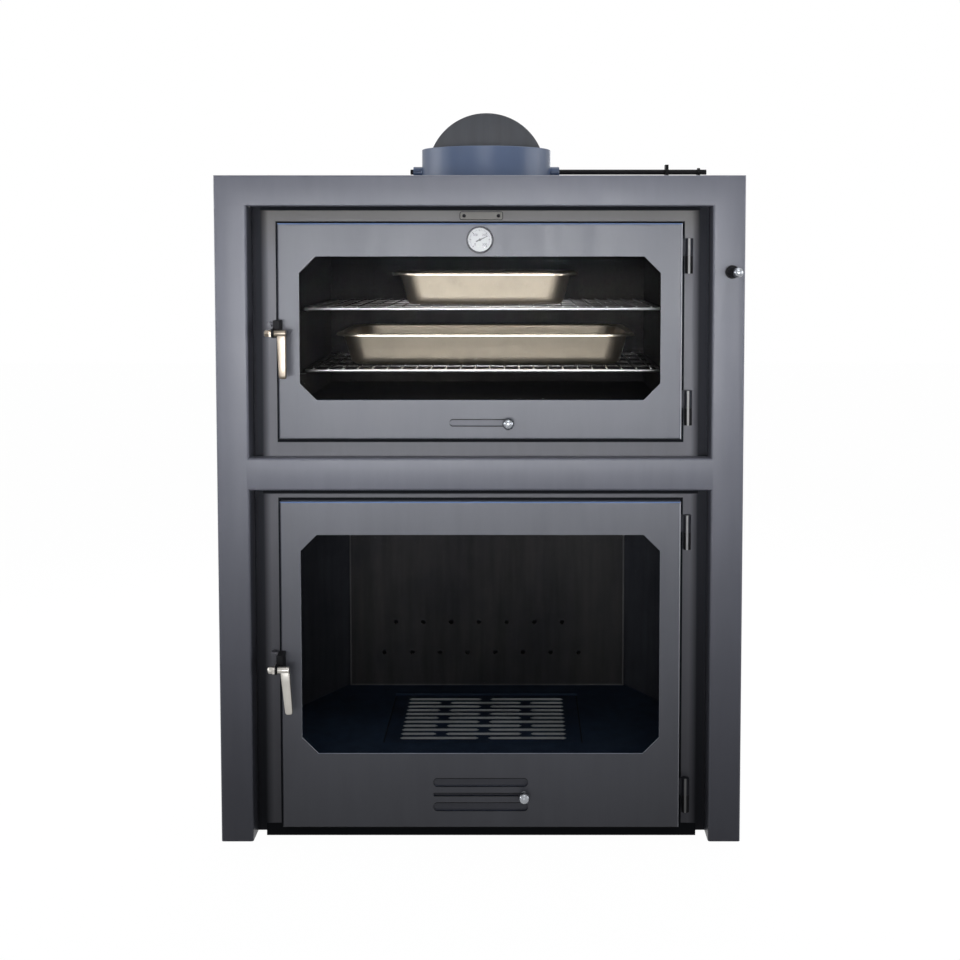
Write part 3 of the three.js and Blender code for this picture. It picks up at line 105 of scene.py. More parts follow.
class Signal:
    """An output socket that can be added to, taken from a value and multiplied."""

    def __init__(self, graph: "Nodes", socket: Any) -> None:
        """Wrap one output socket of a tree."""
        self.graph = graph
        self.socket = socket

    def __add__(self, other: Any) -> "Signal":
        """Sum of this and other."""
        return self.graph.maths("ADD", self, other)

    __radd__ = __add__

    def __rsub__(self, other: Any) -> "Signal":
        """Other less this."""
        return self.graph.maths("SUBTRACT", other, self)

    def __mul__(self, other: Any) -> "Signal":
        """Product of this and other."""
        return self.graph.maths("MULTIPLY", self, other)

    __rmul__ = __mul__


class Nodes:
    """A node tree that is emptied and filled anew."""

    def __init__(self, tree: bpy.types.NodeTree) -> None:
        """Wrap and empty a tree."""
        self.tree = tree
        tree.nodes.clear()

    def put(self, target: Any, value: Any) -> None:
        """Link a Signal to an input socket, or set a constant on it."""
        if isinstance(value, Signal):
            self.tree.links.new(value.socket, target)
        else:
            target.default_value = value

    def node(self, kind: str, settings: dict[str, Any], inputs: dict[Any, Any],
             output: Any = 0) -> Signal:
        """Add a node.

        Args:
            kind: The node's type name.
            settings: Properties set before its sockets.
            inputs: Values or Signals by socket name or number.
            output: The output wanted, by name or number.

        Returns:
            That output.
        """
        made = self.tree.nodes.new(kind)
        for key, value in settings.items():
            setattr(made, key, value)
        for key, value in inputs.items():
            self.put(made.inputs[key], value)
        return Signal(self, made.outputs[output])

    def maths(self, operation: str, first: Any, second: Any = 0.0) -> Signal:
        """Join one or two values, each a Signal or a number, with one Math node."""
        return self.node("ShaderNodeMath", {"operation": operation}, {0: first, 1: second})

    def seen(self) -> Signal:
        """1 where the camera, metal or clear glass looks, else 0."""
        path = self.tree.nodes.new("ShaderNodeLightPath")
        total = Signal(self, path.outputs["Is Camera Ray"])
        for kind in ("Is Glossy Ray", "Is Transmission Ray"):
            total = self.maths("MAXIMUM", total, Signal(self, path.outputs[kind]))
        return total


class Graph(Nodes):
    """One material's node tree around a Principled shader."""

    def __init__(self, name: str) -> None:
        """Start a material with an empty tree, its shader and its output."""
        self.material = bpy.data.materials.new(name)
        self.material.use_nodes = True
        super().__init__(self.material.node_tree)
        self.output = self.tree.nodes.new("ShaderNodeOutputMaterial")
        self.shader = self.tree.nodes.new("ShaderNodeBsdfPrincipled")
        self.tree.links.new(self.shader.outputs[0], self.output.inputs["Surface"])

    def place(self, scale: Sequence[float] = (1, 1, 1)) -> Signal:
        """Object coordinates, stretched along each axis by scale."""
        coordinates = self.node("ShaderNodeTexCoord", {}, {}, "Object")
        return self.node("ShaderNodeMapping", {}, {"Vector": coordinates, "Scale": tuple(scale)})

    def along(self, axis: str) -> Signal:
        """One object coordinate: X, Y or Z."""
        return self.node("ShaderNodeSeparateXYZ", {}, {0: self.place()}, axis)

    def aside(self) -> Signal:
        """Distance to the left or right of the object's middle."""
        return self.maths("ABSOLUTE", self.along("X"))

    def facing(self, axis: str) -> Signal:
        """How far the surface faces along an object axis, from -1 to 1."""
        normal = self.node("ShaderNodeTexCoord", {}, {}, "Normal")
        return self.node("ShaderNodeSeparateXYZ", {}, {0: normal}, axis)

    def noise(self, cloud: Cloud) -> Signal:
        """A cloud's values, from 0 to 1."""
        return self.node("ShaderNodeTexNoise", {}, {
            "Vector": self.place(cloud.stretch), "Scale": cloud.waves, "Detail": cloud.detail,
            "Roughness": cloud.roughness})

    def span(self, value: Signal, low: float, high: float, start: float = 0.0,
             end: float = 1.0) -> Signal:
        """Map a value from low..high to start..end, held at the ends."""
        return self.node("ShaderNodeMapRange", {"clamp": True}, {
            "Value": value, "From Min": low, "From Max": high, "To Min": start, "To Max": end})

    def inside(self, value: Signal, low: float, high: float, soft: float = 0.0004) -> Signal:
        """1 where a value lies between low and high, else 0, over a soft edge."""
        return self.span(value, low, low + soft) * self.span(value, high - soft, high, 1.0, 0.0)

    def blend(self, factor: Any, first: Any, second: Any) -> Signal:
        """Mix two colours by a factor."""
        return self.node("ShaderNodeMix", {"data_type": "RGBA"},
                         {0: factor, 6: first, 7: second}, 2)

    def relief(self, height: Signal, distance: float, strength: float = 1.0) -> Signal:
        """A bump normal from a height of 0 to 1 that stands distance tall."""
        return self.node("ShaderNodeBump", {}, {
            "Height": height, "Distance": distance, "Strength": strength})

    def shade(self, **values: Any) -> bpy.types.Material:
        """Fill the shader's sockets, with underscores for spaces, and return the material."""
        for key, value in values.items():
            self.put(self.shader.inputs[key.replace("_", " ")], value)
        return self.material


# Finishes. Tones are on the 0 to 255 screen scale, and each span is the stretch of a coordinate
# over which a mark comes in.

@dataclass(frozen=True)
class Coat:
    """What every finish has: its material's name and its tone."""

    name: str
    tone: Triple

    def toned(self, share: float = 1.0) -> Colour:
        """The tone as a linear colour, times share."""
        return linear(*self.tone, share)


@dataclass(frozen=True)
class SheetPaint(Coat):
    """Satin heat paint on folded sheet: slow cloudy tone, a fine spray grain and wipe marks."""

    roughness: float = 0.42
    cloud: float = 0.10
    grain: float = 0.00002
    gloss: float = 0.5
    slow: Cloud = Cloud(3.1, 3.0, (0.35, 0.65))
    slow_part: float = 0.65
    wipe: Cloud = Cloud(9.0, 4.0, stretch=(5.0, 5.0, 0.6))
    wipe_roughness: Pair = (-0.035, 0.045)
    spray: Cloud = Cloud(1400.0, 2.0, (0.35, 0.75))
    spray_strength: float = 0.6
    fleck_part: float = 0.10
    fleck_light: float = 1.5

    def marked(self, graph: Graph, colour: Signal) -> tuple[Signal, Any]:
        """Paint light and shade onto some places of the paint; plain paint has none.

        Args:
            graph: The material's graph.
            colour: The plain colour.

        Returns:
            The marked colour, and where it is painted dark as shade and made dull, or None.
        """
        return colour, None

    def material(self) -> bpy.types.Material:
        """Build the paint."""
        graph = Graph(self.name)
        slow, wipe, spray = (graph.noise(cloud) for cloud in (self.slow, self.wipe, self.spray))
        mixed = slow * self.slow_part + wipe * (1 - self.slow_part)
        colour = graph.blend(graph.span(mixed, *self.slow.span), self.toned(1 - self.cloud),
                             self.toned(1 + self.cloud))
        flecks = graph.span(spray, *self.spray.span) * self.fleck_part
        colour = graph.blend(flecks, colour, self.toned(self.fleck_light))
        glossier, duller = (self.roughness + change for change in self.wipe_roughness)
        rough = graph.span(wipe, *self.wipe.span, glossier, duller)
        colour, dull = self.marked(graph, colour)
        if dull is not None:
            rough = rough + (1 - rough) * dull
        return graph.shade(
            Base_Color=colour, Roughness=rough, Metallic=0.0, Specular_IOR_Level=self.gloss,
            Normal=graph.relief(spray, self.grain, self.spray_strength))


@dataclass(frozen=True)
class SidePaint(SheetPaint):
    """Casing paint whose front lips, in the grooves beside the face plate, are painted dark and
    dull as shade.
    """

    lip_back: float = -0.218
    soft: float = 0.002
    # Painted shade: the dark tone laid on the lips in the grooves, and how much duller they are
    # made.
    groove_shade: Triple = (32, 33, 38)
    groove_shade_dull: float = 0.8

    def marked(self, graph: Graph, colour: Signal) -> tuple[Signal, Any]:
        """Paint shade over everything in front of the lips' back."""
        ends = (self.lip_back - self.soft, self.lip_back + self.soft)
        groove_shade = graph.span(graph.along("Y"), *ends, 1.0, 0.0)
        return graph.blend(groove_shade, colour, linear(*self.groove_shade)), groove_shade * self.groove_shade_dull


@dataclass(frozen=True)
class DoorPaint(SheetPaint):
    """Door paint with painted light on its front bends and cut edges: a bluish painted highlight on
    top, a bright one on the right, painted shade below and on the left.
    """

    face: float = -0.27285
    bend_span: Pair = (0.0026, 0.003)
    cut_depth: float = 0.0001
    window_half: float = 0.2975
    window_height: Pair = (0.14, 0.52)
    turned: Pair = (0.5, 0.6)
    # Painted light on the front bends: a bluish highlight on top, shade below, a bright highlight
    # on the right and shade on the left.
    upper: Triple = (92, 117, 158)
    lower: Triple = (13, 13, 15)
    right: Triple = (176, 177, 183)
    left: Triple = (30, 32, 41)
    # Painted highlight on the fire window's cut edge, and how strongly it is laid on.
    cut: Triple = (228, 232, 246)
    cut_highlight_part: float = 0.85

    def marked(self, graph: Graph, colour: Signal) -> tuple[Signal, Any]:
        """Paint highlights and shade onto the edges by where they face, and a painted highlight on
        the fire window's cut edge.
        """
        depth = graph.along("Y")
        bent = graph.span(depth, *(self.face + end for end in self.bend_span), 1.0, 0.0)
        up, across = graph.facing("Z"), graph.facing("X")
        start, full = self.turned
        below = graph.span(up, -full, -start, 1.0, 0.0) * bent
        for mask, tone in ((graph.span(up, start, full) * bent, self.upper), (below, self.lower),
                           (graph.span(across, start, full) * bent, self.right),
                           (graph.span(across, -full, -start, 1.0, 0.0) * bent, self.left)):
            colour = graph.blend(mask, colour, linear(*tone))
        zone = graph.inside(graph.aside(), -1.0, self.window_half)
        zone = zone * graph.inside(graph.along("Z"), *self.window_height)
        behind = graph.span(depth, self.face, self.face + self.cut_depth) * bent
        return graph.blend(zone * behind * self.cut_highlight_part, colour, linear(*self.cut)), below


@dataclass(frozen=True)
class HingePaint(SheetPaint):
    """Dark hinge paint with a painted highlight in a line down the front of each barrel."""

    middle: float = 0.3399
    half: float = 0.002
    soft: float = 0.0006
    front: Pair = (-0.2625, -0.262)
    # Tone of the painted highlight.
    barrel_highlight: Triple = (138, 137, 136)

    def marked(self, graph: Graph, colour: Signal) -> tuple[Signal, Any]:
        """Paint the highlight along the line."""
        ends = (self.middle - self.half, self.middle + self.half)
        line = graph.inside(graph.along("X"), *ends, self.soft)
        line = line * graph.span(graph.along("Y"), *self.front, 1.0, 0.0)
        return graph.blend(line, colour, linear(*self.barrel_highlight)), None


@dataclass(frozen=True)
class PlatePaint(SheetPaint):
    """Face plate paint with painted shade where the doors close, showing as a dark line under each
    door, at its ends beside the posts and in the corners under the rails.
    """

    # Painted shade: on the door seats within a half width and height bands, under the rails, and at
    # the ends beside the posts.
    seat_half: float = 0.3345
    bands: tuple[Pair, ...] = ((-1.0, 0.5716), (0.6632, 1.0264))
    shades: tuple[Pair, ...] = ((-1.0, 0.022), (0.577, 0.6408), (1.0432, 2.0))
    shade_soft: float = 0.0012
    ends: Pair = (0.346, 0.3585)
    end_part: float = 0.8
    warm_span: Pair = (0.97, 1.045)
    warm_part: float = 0.55
    warm: Triple = (67, 63, 52)
    # Tone of the painted shade.
    shade_tone: Triple = (12, 14, 18)

    def marked(self, graph: Graph, colour: Signal) -> tuple[Signal, Any]:
        """Warm the upper part a little and paint shade on the seats, ends and corners."""
        aside, height = graph.aside(), graph.along("Z")
        warmed = graph.span(height, *self.warm_span, 0.0, self.warm_part)
        toned = graph.blend(warmed, colour, linear(*self.warm))
        seat = graph.inside(aside, -1.0, self.seat_half)
        dark: Any = graph.span(aside, *self.ends, 0.0, self.end_part)
        for band in self.bands:
            dark = graph.maths("MAXIMUM", dark, seat * graph.inside(height, *band))
        for band in self.shades:
            dark = graph.maths("MAXIMUM", dark, graph.inside(height, *band, self.shade_soft))
        return graph.blend(dark, toned, linear(*self.shade_tone)), dark


@dataclass(frozen=True)
class DarkSteel(Coat):
    """Bare dark sheet inside the stove: blotches of heat tint, a rolled grain and painted shade
    over the upper part where asked.
    """

    tint: Triple
    roughness: float = 0.55
    metallic: float = 0.3
    gloss: float = 0.5
    # Heights over which the upper part is painted into shade, or None.
    shade_above: Pair | None = None
    blotch: Cloud = Cloud(7.0, 4.0, (0.4, 0.7))
    blotch_roughness: Pair = (-0.08, 0.1)
    rolled: Cloud = Cloud(60.0, 3.0, stretch=(1.0, 1.0, 0.08))
    rolled_dark: float = 0.25
    rolled_relief: Pair = (0.00006, 0.5)
    # Tone of the painted shade.
    top_shade: Triple = (3, 3, 4)

    def material(self) -> bpy.types.Material:
        """Build the sheet steel, with painted shade over the upper part, between the heights given
        for it.
        """
        graph = Graph(self.name)
        blotch, rolled = graph.noise(self.blotch), graph.noise(self.rolled)
        colour = graph.blend(graph.span(blotch, *self.blotch.span), self.toned(),
                             linear(*self.tint))
        lines = graph.span(rolled, *self.rolled.span) * self.rolled_dark
        colour = graph.blend(lines, colour, linear(0, 0, 0))
        glossier, duller = (self.roughness + change for change in self.blotch_roughness)
        rough = graph.span(blotch, *NOISE_RANGE, glossier, duller)
        if self.shade_above is not None:
            top_shade = graph.span(graph.along("Z"), *self.shade_above)
            colour = graph.blend(top_shade, colour, linear(*self.top_shade))
            rough = rough + (1 - rough) * top_shade
        return graph.shade(
            Base_Color=colour, Roughness=rough, Metallic=self.metallic,
            Specular_IOR_Level=self.gloss, Normal=graph.relief(rolled, *self.rolled_relief))


@dataclass(frozen=True)
class BrightMetal(Coat):
    """Polished or satin metal: faint drawing marks, a little haze and handling smears."""

    roughness: float
    smear: float = 0.05
    grain: Triple = (1.0, 1.0, 1.0)
    grain_scale: float = 400.0
    relief: float = 0.000004
    # Depths over which the metal is painted into shade towards the back, most away from the middle,
    # or None.
    shaded_back: Pair | None = None
    haze: Cloud = Cloud(22.0, 3.0, (0.35, 0.7))
    haze_part: float = 0.6
    haze_dark: float = 0.82
    mark_strength: float = 0.5
    # Tone of the painted shade, and the half widths and shares over which it grows.
    back_shade: Triple = (55, 52, 50)
    back_shade_aside: Pair = (0.06, 0.2)
    back_shade_part: Pair = (0.3, 0.92)

    def material(self) -> bpy.types.Material:
        """Build the metal, with painted shade away from the middle and the front, between the
        depths given for it.
        """
        graph = Graph(self.name)
        marks = graph.noise(Cloud(self.grain_scale, stretch=self.grain))
        haze = graph.noise(self.haze)
        colour = graph.blend(graph.span(haze, *self.haze.span) * self.haze_part,
                             self.toned(), self.toned(self.haze_dark))
        if self.shaded_back is not None:
            back = graph.span(graph.along("Y"), *self.shaded_back)
            away = graph.span(graph.aside(), *self.back_shade_aside, *self.back_shade_part)
            colour = graph.blend(back * away, colour, linear(*self.back_shade))
        mixed = haze * self.haze_part + marks * (1 - self.haze_part)
        rough = graph.span(mixed, *NOISE_RANGE, self.roughness, self.roughness + self.smear)
        return graph.shade(
            Base_Color=colour, Roughness=rough, Metallic=1.0,
            Normal=graph.relief(marks, self.relief, self.mark_strength))


@dataclass(frozen=True)
class CastIron(Coat):
    """Casting with a pitted sand skin in its dark tone on top, a painted highlight on the slots'
    walls, painted shade at its side edges and a lighter strip along its back.
    """

    # Painted highlight laid on every face that does not look up, the slots' walls.
    wall_highlight: Triple
    plate: Pair
    sand: Cloud = Cloud(900.0, 4.0)
    sand_roughness: Pair = (0.5, 0.72)
    sand_relief: Pair = (0.0002, 0.7)
    patch: Cloud = Cloud(18.0, 3.0, (0.4, 0.65))
    patch_light: float = 1.6
    upward: Pair = (0.4, 0.7)
    # Painted shade: the plate's side edges are laid near black over this width, and a strip along
    # the back is painted lighter.
    gap_width: float = 0.0026
    gap: Triple = (4, 6, 9)
    back_strip_width: float = 0.0075
    back_strip_light: float = 2.6
    soft: float = 0.001

    def material(self) -> bpy.types.Material:
        """Build the casting, with painted shade along its side edges and a lighter strip at its
        back, placed by plate, its half width and its back.
        """
        graph = Graph(self.name)
        sand = graph.noise(self.sand)
        patch = graph.span(graph.noise(self.patch), *self.patch.span)
        skin = graph.blend(patch, self.toned(), self.toned(self.patch_light))
        half, back = self.plate
        gap, back_strip = half - self.gap_width, back - self.back_strip_width
        skin = graph.blend(graph.span(graph.aside(), gap, gap + self.soft), skin,
                           linear(*self.gap))
        skin = graph.blend(graph.span(graph.along("Y"), back_strip, back_strip + self.soft), skin,
                           self.toned(self.back_strip_light))
        top = graph.span(graph.facing("Z"), *self.upward)
        return graph.shade(
            Base_Color=graph.blend(top, linear(*self.wall_highlight), skin),
            Roughness=graph.span(sand, *self.sand.span, *self.sand_roughness), Metallic=0.1,
            Specular_IOR_Level=0.3, Normal=graph.relief(sand, *self.sand_relief))


@dataclass(frozen=True)
class RopeSeal(Coat):
    """Woven glass rope: short slanting strands with fuzzy dark gaps."""

    strand_waves: float = 70.0
    strand_warp: float = 2.5
    gap_dark: float = 0.4
    strand_height: float = 0.0006

    def material(self) -> bpy.types.Material:
        """Build the rope."""
        graph = Graph(self.name)
        strands = graph.node("ShaderNodeTexWave", {"bands_direction": "DIAGONAL"}, {
            "Vector": graph.place(), "Scale": self.strand_waves, "Distortion": self.strand_warp,
            "Detail": 2.0}, "Fac")
        colour = graph.blend(strands, self.toned(self.gap_dark), self.toned())
        return graph.shade(Base_Color=colour, Roughness=0.95,
                           Normal=graph.relief(strands, self.strand_height))


@dataclass(frozen=True)
class StoveGlass(Coat):
    """Clear ceramic glass: nearly all of what is behind shows, with a thin grey cast."""

    cover: float
    dust: Cloud = Cloud(30.0, 4.0, (0.3, 0.75))
    dust_cover: float = 0.025
    roughness: float = 0.04
    gloss: float = 0.01

    def material(self) -> bpy.types.Material:
        """Build the glass."""
        graph = Graph(self.name)
        dust, full = graph.noise(self.dust), self.cover + self.dust_cover
        alpha = graph.span(dust, *self.dust.span, self.cover, full)
        return graph.shade(Base_Color=self.toned(), Roughness=self.roughness, Alpha=alpha,
                           Specular_IOR_Level=self.gloss)


@dataclass(frozen=True)
class Enamel(Coat):
    """Plain printed or enamelled face with a faint mottle."""

    roughness: float = 0.45
    mottle: Cloud = Cloud(260.0, 2.0, (0.35, 0.7))
    mottle_dark: float = 0.93

    def material(self) -> bpy.types.Material:
        """Build the enamel."""
        graph = Graph(self.name)
        mottle = graph.span(graph.noise(self.mottle), *self.mottle.span)
        colour = graph.blend(mottle, self.toned(self.mottle_dark), self.toned())
        return graph.shade(Base_Color=colour, Roughness=self.roughness)


class Finish(Enum):
    """Every finish on the stove."""

    FRAME = SheetPaint("frame_paint", (87, 88, 96), 0.35, gloss=0.21)
    DOOR = DoorPaint("door_paint", (84, 85, 91), 0.35, gloss=0.196)
    # A lighter, glossier copy of the door paint for the fire door: painted light.
    LOWER_DOOR = DoorPaint("lower_door_paint", (91, 92, 98), 0.35, gloss=0.217)
    SLIDE = SheetPaint("slide_paint", (80, 81, 88), 0.35, gloss=0.196)
    HINGE = HingePaint("hinge_paint", (34, 35, 40), 0.5, gloss=0.112)
    PIN = HingePaint("hinge_pin_paint", (17, 17, 19), 0.6, 0.15, gloss=0.112)
    RECESS = PlatePaint("recess_paint", (80, 80, 85), 0.38, gloss=0.182)
    PLATE = SheetPaint("plate_paint", (78, 76, 71), 0.38, gloss=0.182)
    CASING = SheetPaint("casing_paint", (87, 88, 94), 0.44, gloss=0.35)
    SIDES = SidePaint("side_paint", (87, 88, 94), 0.44, gloss=0.28)
    COLLAR = SheetPaint("collar_paint", (53, 68, 94), 0.42, gloss=0.4)
    DISC = DarkSteel("disc_steel", (53, 55, 60), (67, 67, 69), 0.6, 0.3)
    BLACK = SheetPaint("black_paint", (17, 17, 19), 0.6, 0.15, gloss=0.112)
    # Its upper part is painted into shade.
    CHAMBER = DarkSteel("chamber_steel", (44, 43, 44), (55, 52, 48), 0.85, 0.0, 0.08, (0.88, 0.95))
    FIREBACK = DarkSteel("fireback_steel", (71, 70, 70), (62, 62, 65), 0.8, 0.0, 0.1)
    # Light steel for the rods painted as highlights in the firebox's corners.
    GLINT = DarkSteel("glint_steel", (122, 122, 122), (99, 99, 101), 0.7, 0.0, 0.2)
    FIRELINING = DarkSteel("lining_steel", (71, 73, 80), (60, 62, 69), 0.7, 0.0, 0.2)
    FIREFLOOR = DarkSteel("hearth_steel", (50, 68, 93), (60, 77, 101), 0.66, 0.1, 0.2)
    # Painted highlight on the slots' walls and painted shade at the side edges.
    GRATE = CastIron("grate_iron", (34, 48, 69), (249, 252, 252), (0.1757, 0.1207))
    GALVANISED = BrightMetal("galvanised_sheet", (175, 179, 184), 0.38, 0.15, grain_scale=60.0)
    CHROME = BrightMetal("chrome_plate", (149, 152, 157), 0.25, 0.05)
    # The wires are painted into shade towards the back.
    WIRE = BrightMetal("wire_chrome", (252, 252, 252), 0.3, 0.08, shaded_back=(-0.1305, -0.1265))
    PAN = BrightMetal("pan_stainless", (225, 212, 191), 0.34, 0.04, (1.0, 1.0, 12.0), 220.0,
                      0.000001)
    # A whiter copy of the pans' steel for the rim beads: a painted highlight.
    RIM_HIGHLIGHT = BrightMetal("pan_rim_highlight", (252, 252, 252), 0.3, 0.06)
    NICKEL = BrightMetal("handle_nickel", (113, 105, 95), 0.3, 0.08)
    STEEL = BrightMetal("handle_steel", (172, 169, 163), 0.3, 0.1)
    BEZEL = BrightMetal("bezel_nickel", (64, 64, 67), 0.22, 0.08)
    GLASS = StoveGlass("stove_glass", (8, 8, 9), 0.14)
    LENS = StoveGlass("gauge_lens", (210, 214, 220), 0.03)
    ROPE = RopeSeal("rope_seal", (83, 80, 76))
    DIAL = Enamel("dial_white", (175, 175, 175))
    PRINT = Enamel("dial_print", (12, 12, 14))


MADE: dict[Finish, bpy.types.Material] = {}


def material_of(finish: Finish) -> bpy.types.Material:
    """The material of a finish, built the first time it is asked for."""
    if finish not in MADE:
        MADE[finish] = finish.value.material()
    return MADE[finish]


# Surfaces worked out with numpy

@dataclass
class Skin:
    """Points and faces of one closed surface."""

    points: np.ndarray
    faces: list[tuple[int, ...]]

    def moved(self, offset: Sequence[float]) -> "Skin":
        """The same surface, carried by offset."""
        return Skin(self.points + np.array(offset, float), self.faces)


def carried(grid: np.ndarray, wrap_along: bool = False, cap: bool = True) -> Skin:
    """Skin over a grid of points whose columns close on themselves.

    Each cell of the grid, point (i, j) to (i + 1, j + 1), becomes one four-sided face.

    Args:
        grid: Points with shape (rows, columns, 3).
        wrap_along: True where the last row joins the first.
        cap: True to close the first and last rows with one flat face each.

    Returns:
        The skin, with faces that point outwards where columns run round anticlockwise.
    """
    rows, columns = grid.shape[:2]
    numbers = np.arange(rows * columns).reshape(rows, columns)
    ring = np.vstack([numbers, numbers[:1]]) if wrap_along else numbers
    here, after = ring[:-1], ring[1:]
    cells = np.stack([here, np.roll(here, -1, 1), np.roll(after, -1, 1), after], -1)
    faces = [tuple(cell) for cell in cells.reshape(-1, 4).tolist()]
    if cap and not wrap_along:
        faces.append(tuple(numbers[0, ::-1].tolist()))
        faces.append(tuple(numbers[-1].tolist()))
    return Skin(grid.reshape(-1, 3), faces)


class Axis(Enum):
    """Direction of a turned or extruded form, and the order in which its section's axes follow."""

    X = (1, 2, 0)
    Y = (2, 0, 1)
    Z = (0, 1, 2)


def oriented(across: np.ndarray, upward: np.ndarray, along: np.ndarray, axis: Axis) -> np.ndarray:
    """Stack three coordinate arrays into points, with along on the given axis."""
    points = np.empty((*np.broadcast(across, upward, along).shape, 3))
    for place, values in zip(axis.value, (across, upward, along)):
        points[..., place] = values
    return points


def turned(profile: Sequence[Pair], axis: Axis, centre: Sequence[float], sides: int = 64,
           ring: bool = False) -> Skin:
    """Turn a profile about an axis: a point (r, t) goes to (r cos a, r sin a, t).

    Args:
        profile: Radius and place along the axis of each point.
        axis: The axis to turn about.
        centre: The axis' point at place 0.
        sides: Steps round.
        ring: True where the profile is a closed loop round a hole.

    Returns:
        The closed skin.
    """
    radius, along = np.array(profile, float).T
    angle = np.arange(sides) * FULL_TURN / sides
    grid = oriented(radius[:, None] * np.cos(angle), radius[:, None] * np.sin(angle),
                    along[:, None] + 0 * angle, axis)
    return carried(grid + np.array(centre, float), wrap_along=ring)


def swept(path: np.ndarray, radius: float, sides: int = 12) -> Skin:
    """Carry a circle round a closed path: point + r (n cos a - up sin a), with n = up x tangent.

    Where the path climbs, n shrinks, so the form thins to an edge there.

    Args:
        path: Points with shape (count, 3).
        radius: The circle's radius.
        sides: Steps round the circle.

    Returns:
        The closed skin.
    """
    tangent = np.roll(path, -1, 0) - np.roll(path, 1, 0)
    tangent /= np.linalg.norm(tangent, axis=1, keepdims=True)
    up = np.array([0.0, 0.0, 1.0])
    across = np.cross(up, tangent)
    angle = (np.arange(sides) * FULL_TURN / sides)[None, :, None]
    grid = path[:, None] + radius * (across[:, None] * np.cos(angle) - up * np.sin(angle))
    return carried(grid[:, ::-1], wrap_along=True)


def arc(centre: Sequence[float], radius: float, start: float, end: float,
        steps: int) -> np.ndarray:
    """Points on an arc: centre + radius (cos a, sin a), with a in degrees from start to end."""
    angle = np.radians(np.linspace(start, end, steps + 1))
    return np.array(centre, float) + radius * np.column_stack([np.cos(angle), np.sin(angle)])


def rounded_loop(half: Sequence[float], radius: float, steps: int = 8) -> np.ndarray:
    """A rectangle with round corners as a loop: four quarter arcs, each about its own centre."""
    x, y = half[0] - radius, half[1] - radius
    corners = [((x, y), 0), ((-x, y), 90), ((-x, -y), 180), ((x, -y), 270)]
    return np.vstack([arc(c, radius, a, a + 90, steps) for c, a in corners])


def at_height(loop: np.ndarray, level: float) -> np.ndarray:
    """A flat loop's points, lifted to a level."""
    return np.column_stack([loop, np.full(len(loop), level)])


def extruded(outline: np.ndarray, axis: Axis, low: float, high: float) -> Skin:
    """Carry a flat outline straight along an axis from low to high."""
    places = np.array([low, high])
    return carried(oriented(outline[None, :, 0], outline[None, :, 1], places[:, None], axis))


def rod(axis: Axis, centre: Sequence[float], low: float, high: float, radius: float,
        sides: int = 32, ease: float = 0.0) -> Skin:
    """A round bar from low to high along an axis, with its end edges eased by a small radius."""
    turn = np.radians([0, 30, 60, 90]) if ease > 0 else np.array([math.pi / 2])
    start = np.column_stack([radius - ease + ease * np.sin(turn),
                             low + ease - ease * np.cos(turn)])
    finish = start[::-1] * [1, -1] + [0, low + high]
    return turned(np.vstack([start, finish]), axis, centre, sides)


def outward(skin: Skin) -> Skin:
    """The surface with its faces turned outwards, by its volume's sign: sum of a . (b x c) / 6."""
    fans = np.array([(face[0], b, c) for face in skin.faces for b, c in zip(face[1:-1], face[2:])])
    first, second, third = (skin.points[fans[:, i]] for i in range(3))
    volume = np.einsum("ij,ij->i", first, np.cross(second, third)).sum() / 6
    return skin if volume > 0 else Skin(skin.points, [face[::-1] for face in skin.faces])


def joined(skins: Sequence[Skin]) -> Skin:
    """Several surfaces as one, without any turning of faces."""
    counts = np.cumsum([0, *[len(skin.points) for skin in skins]]).tolist()
    faces = [tuple(i + start for i in face) for skin, start in zip(skins, counts)
             for face in skin.faces]
    return Skin(np.vstack([skin.points for skin in skins]), faces)


# Objects made from them

def linked(name: str, data: Any) -> bpy.types.Object:
    """A new object with its data, in the scene."""
    piece = bpy.data.objects.new(name, data)
    bpy.context.scene.collection.objects.link(piece)
    return piece


def mesh_of(name: str, skin: Skin) -> bpy.types.Mesh:
    """A new mesh with a skin's points and faces."""
    mesh = bpy.data.meshes.new(name)
    mesh.from_pydata(skin.points.tolist(), [], skin.faces)
    return mesh


def built(name: str, skins: Sequence[Skin], finish: Finish, body: str,
          stands_for: Sequence[str] = (), bevel: float = 0.0,
          smooth: bool = True) -> bpy.types.Object:
    """Make one object from skins, dress it and let it ride on a body.

    Args:
        name: The object's name.
        skins: Closed surfaces, joined into one mesh.
        finish: What it is finished with.
        body: The body that it moves with.
        stands_for: CAD nodes that it is shown in place of.
        bevel: Width of a rounded edge in metres, or 0.
        smooth: True to shade gentle bends smooth.

    Returns:
        The object.
    """
    mesh = mesh_of(name, joined([outward(skin) for skin in skins]))
    mesh.validate()
    mesh.materials.append(material_of(finish))
    if smooth:
        mesh.shade_smooth()
        mesh.set_sharp_from_angle(angle=SMOOTH_ANGLE)
    piece = linked(name, mesh)
    if bevel > 0:
        rounding = piece.modifiers.new("edges", "BEVEL")
        rounding.width = bevel
        rounding.segments = BEVEL_SEGMENTS
        rounding.limit_method = "ANGLE"
        rounding.angle_limit = SMOOTH_ANGLE
        rounding.harden_normals = False
    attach(piece, body)
    if stands_for:
        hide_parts(*stands_for)
    LOG.info("%s: %d points on %s", name, len(mesh.vertices), body)
    return piece


def middle_of(node: str) -> np.ndarray:
    """Middle of a CAD node's box."""
    low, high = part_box(node)
    return (np.array(low) + np.array(high)) / 2


# Sub-assemblies

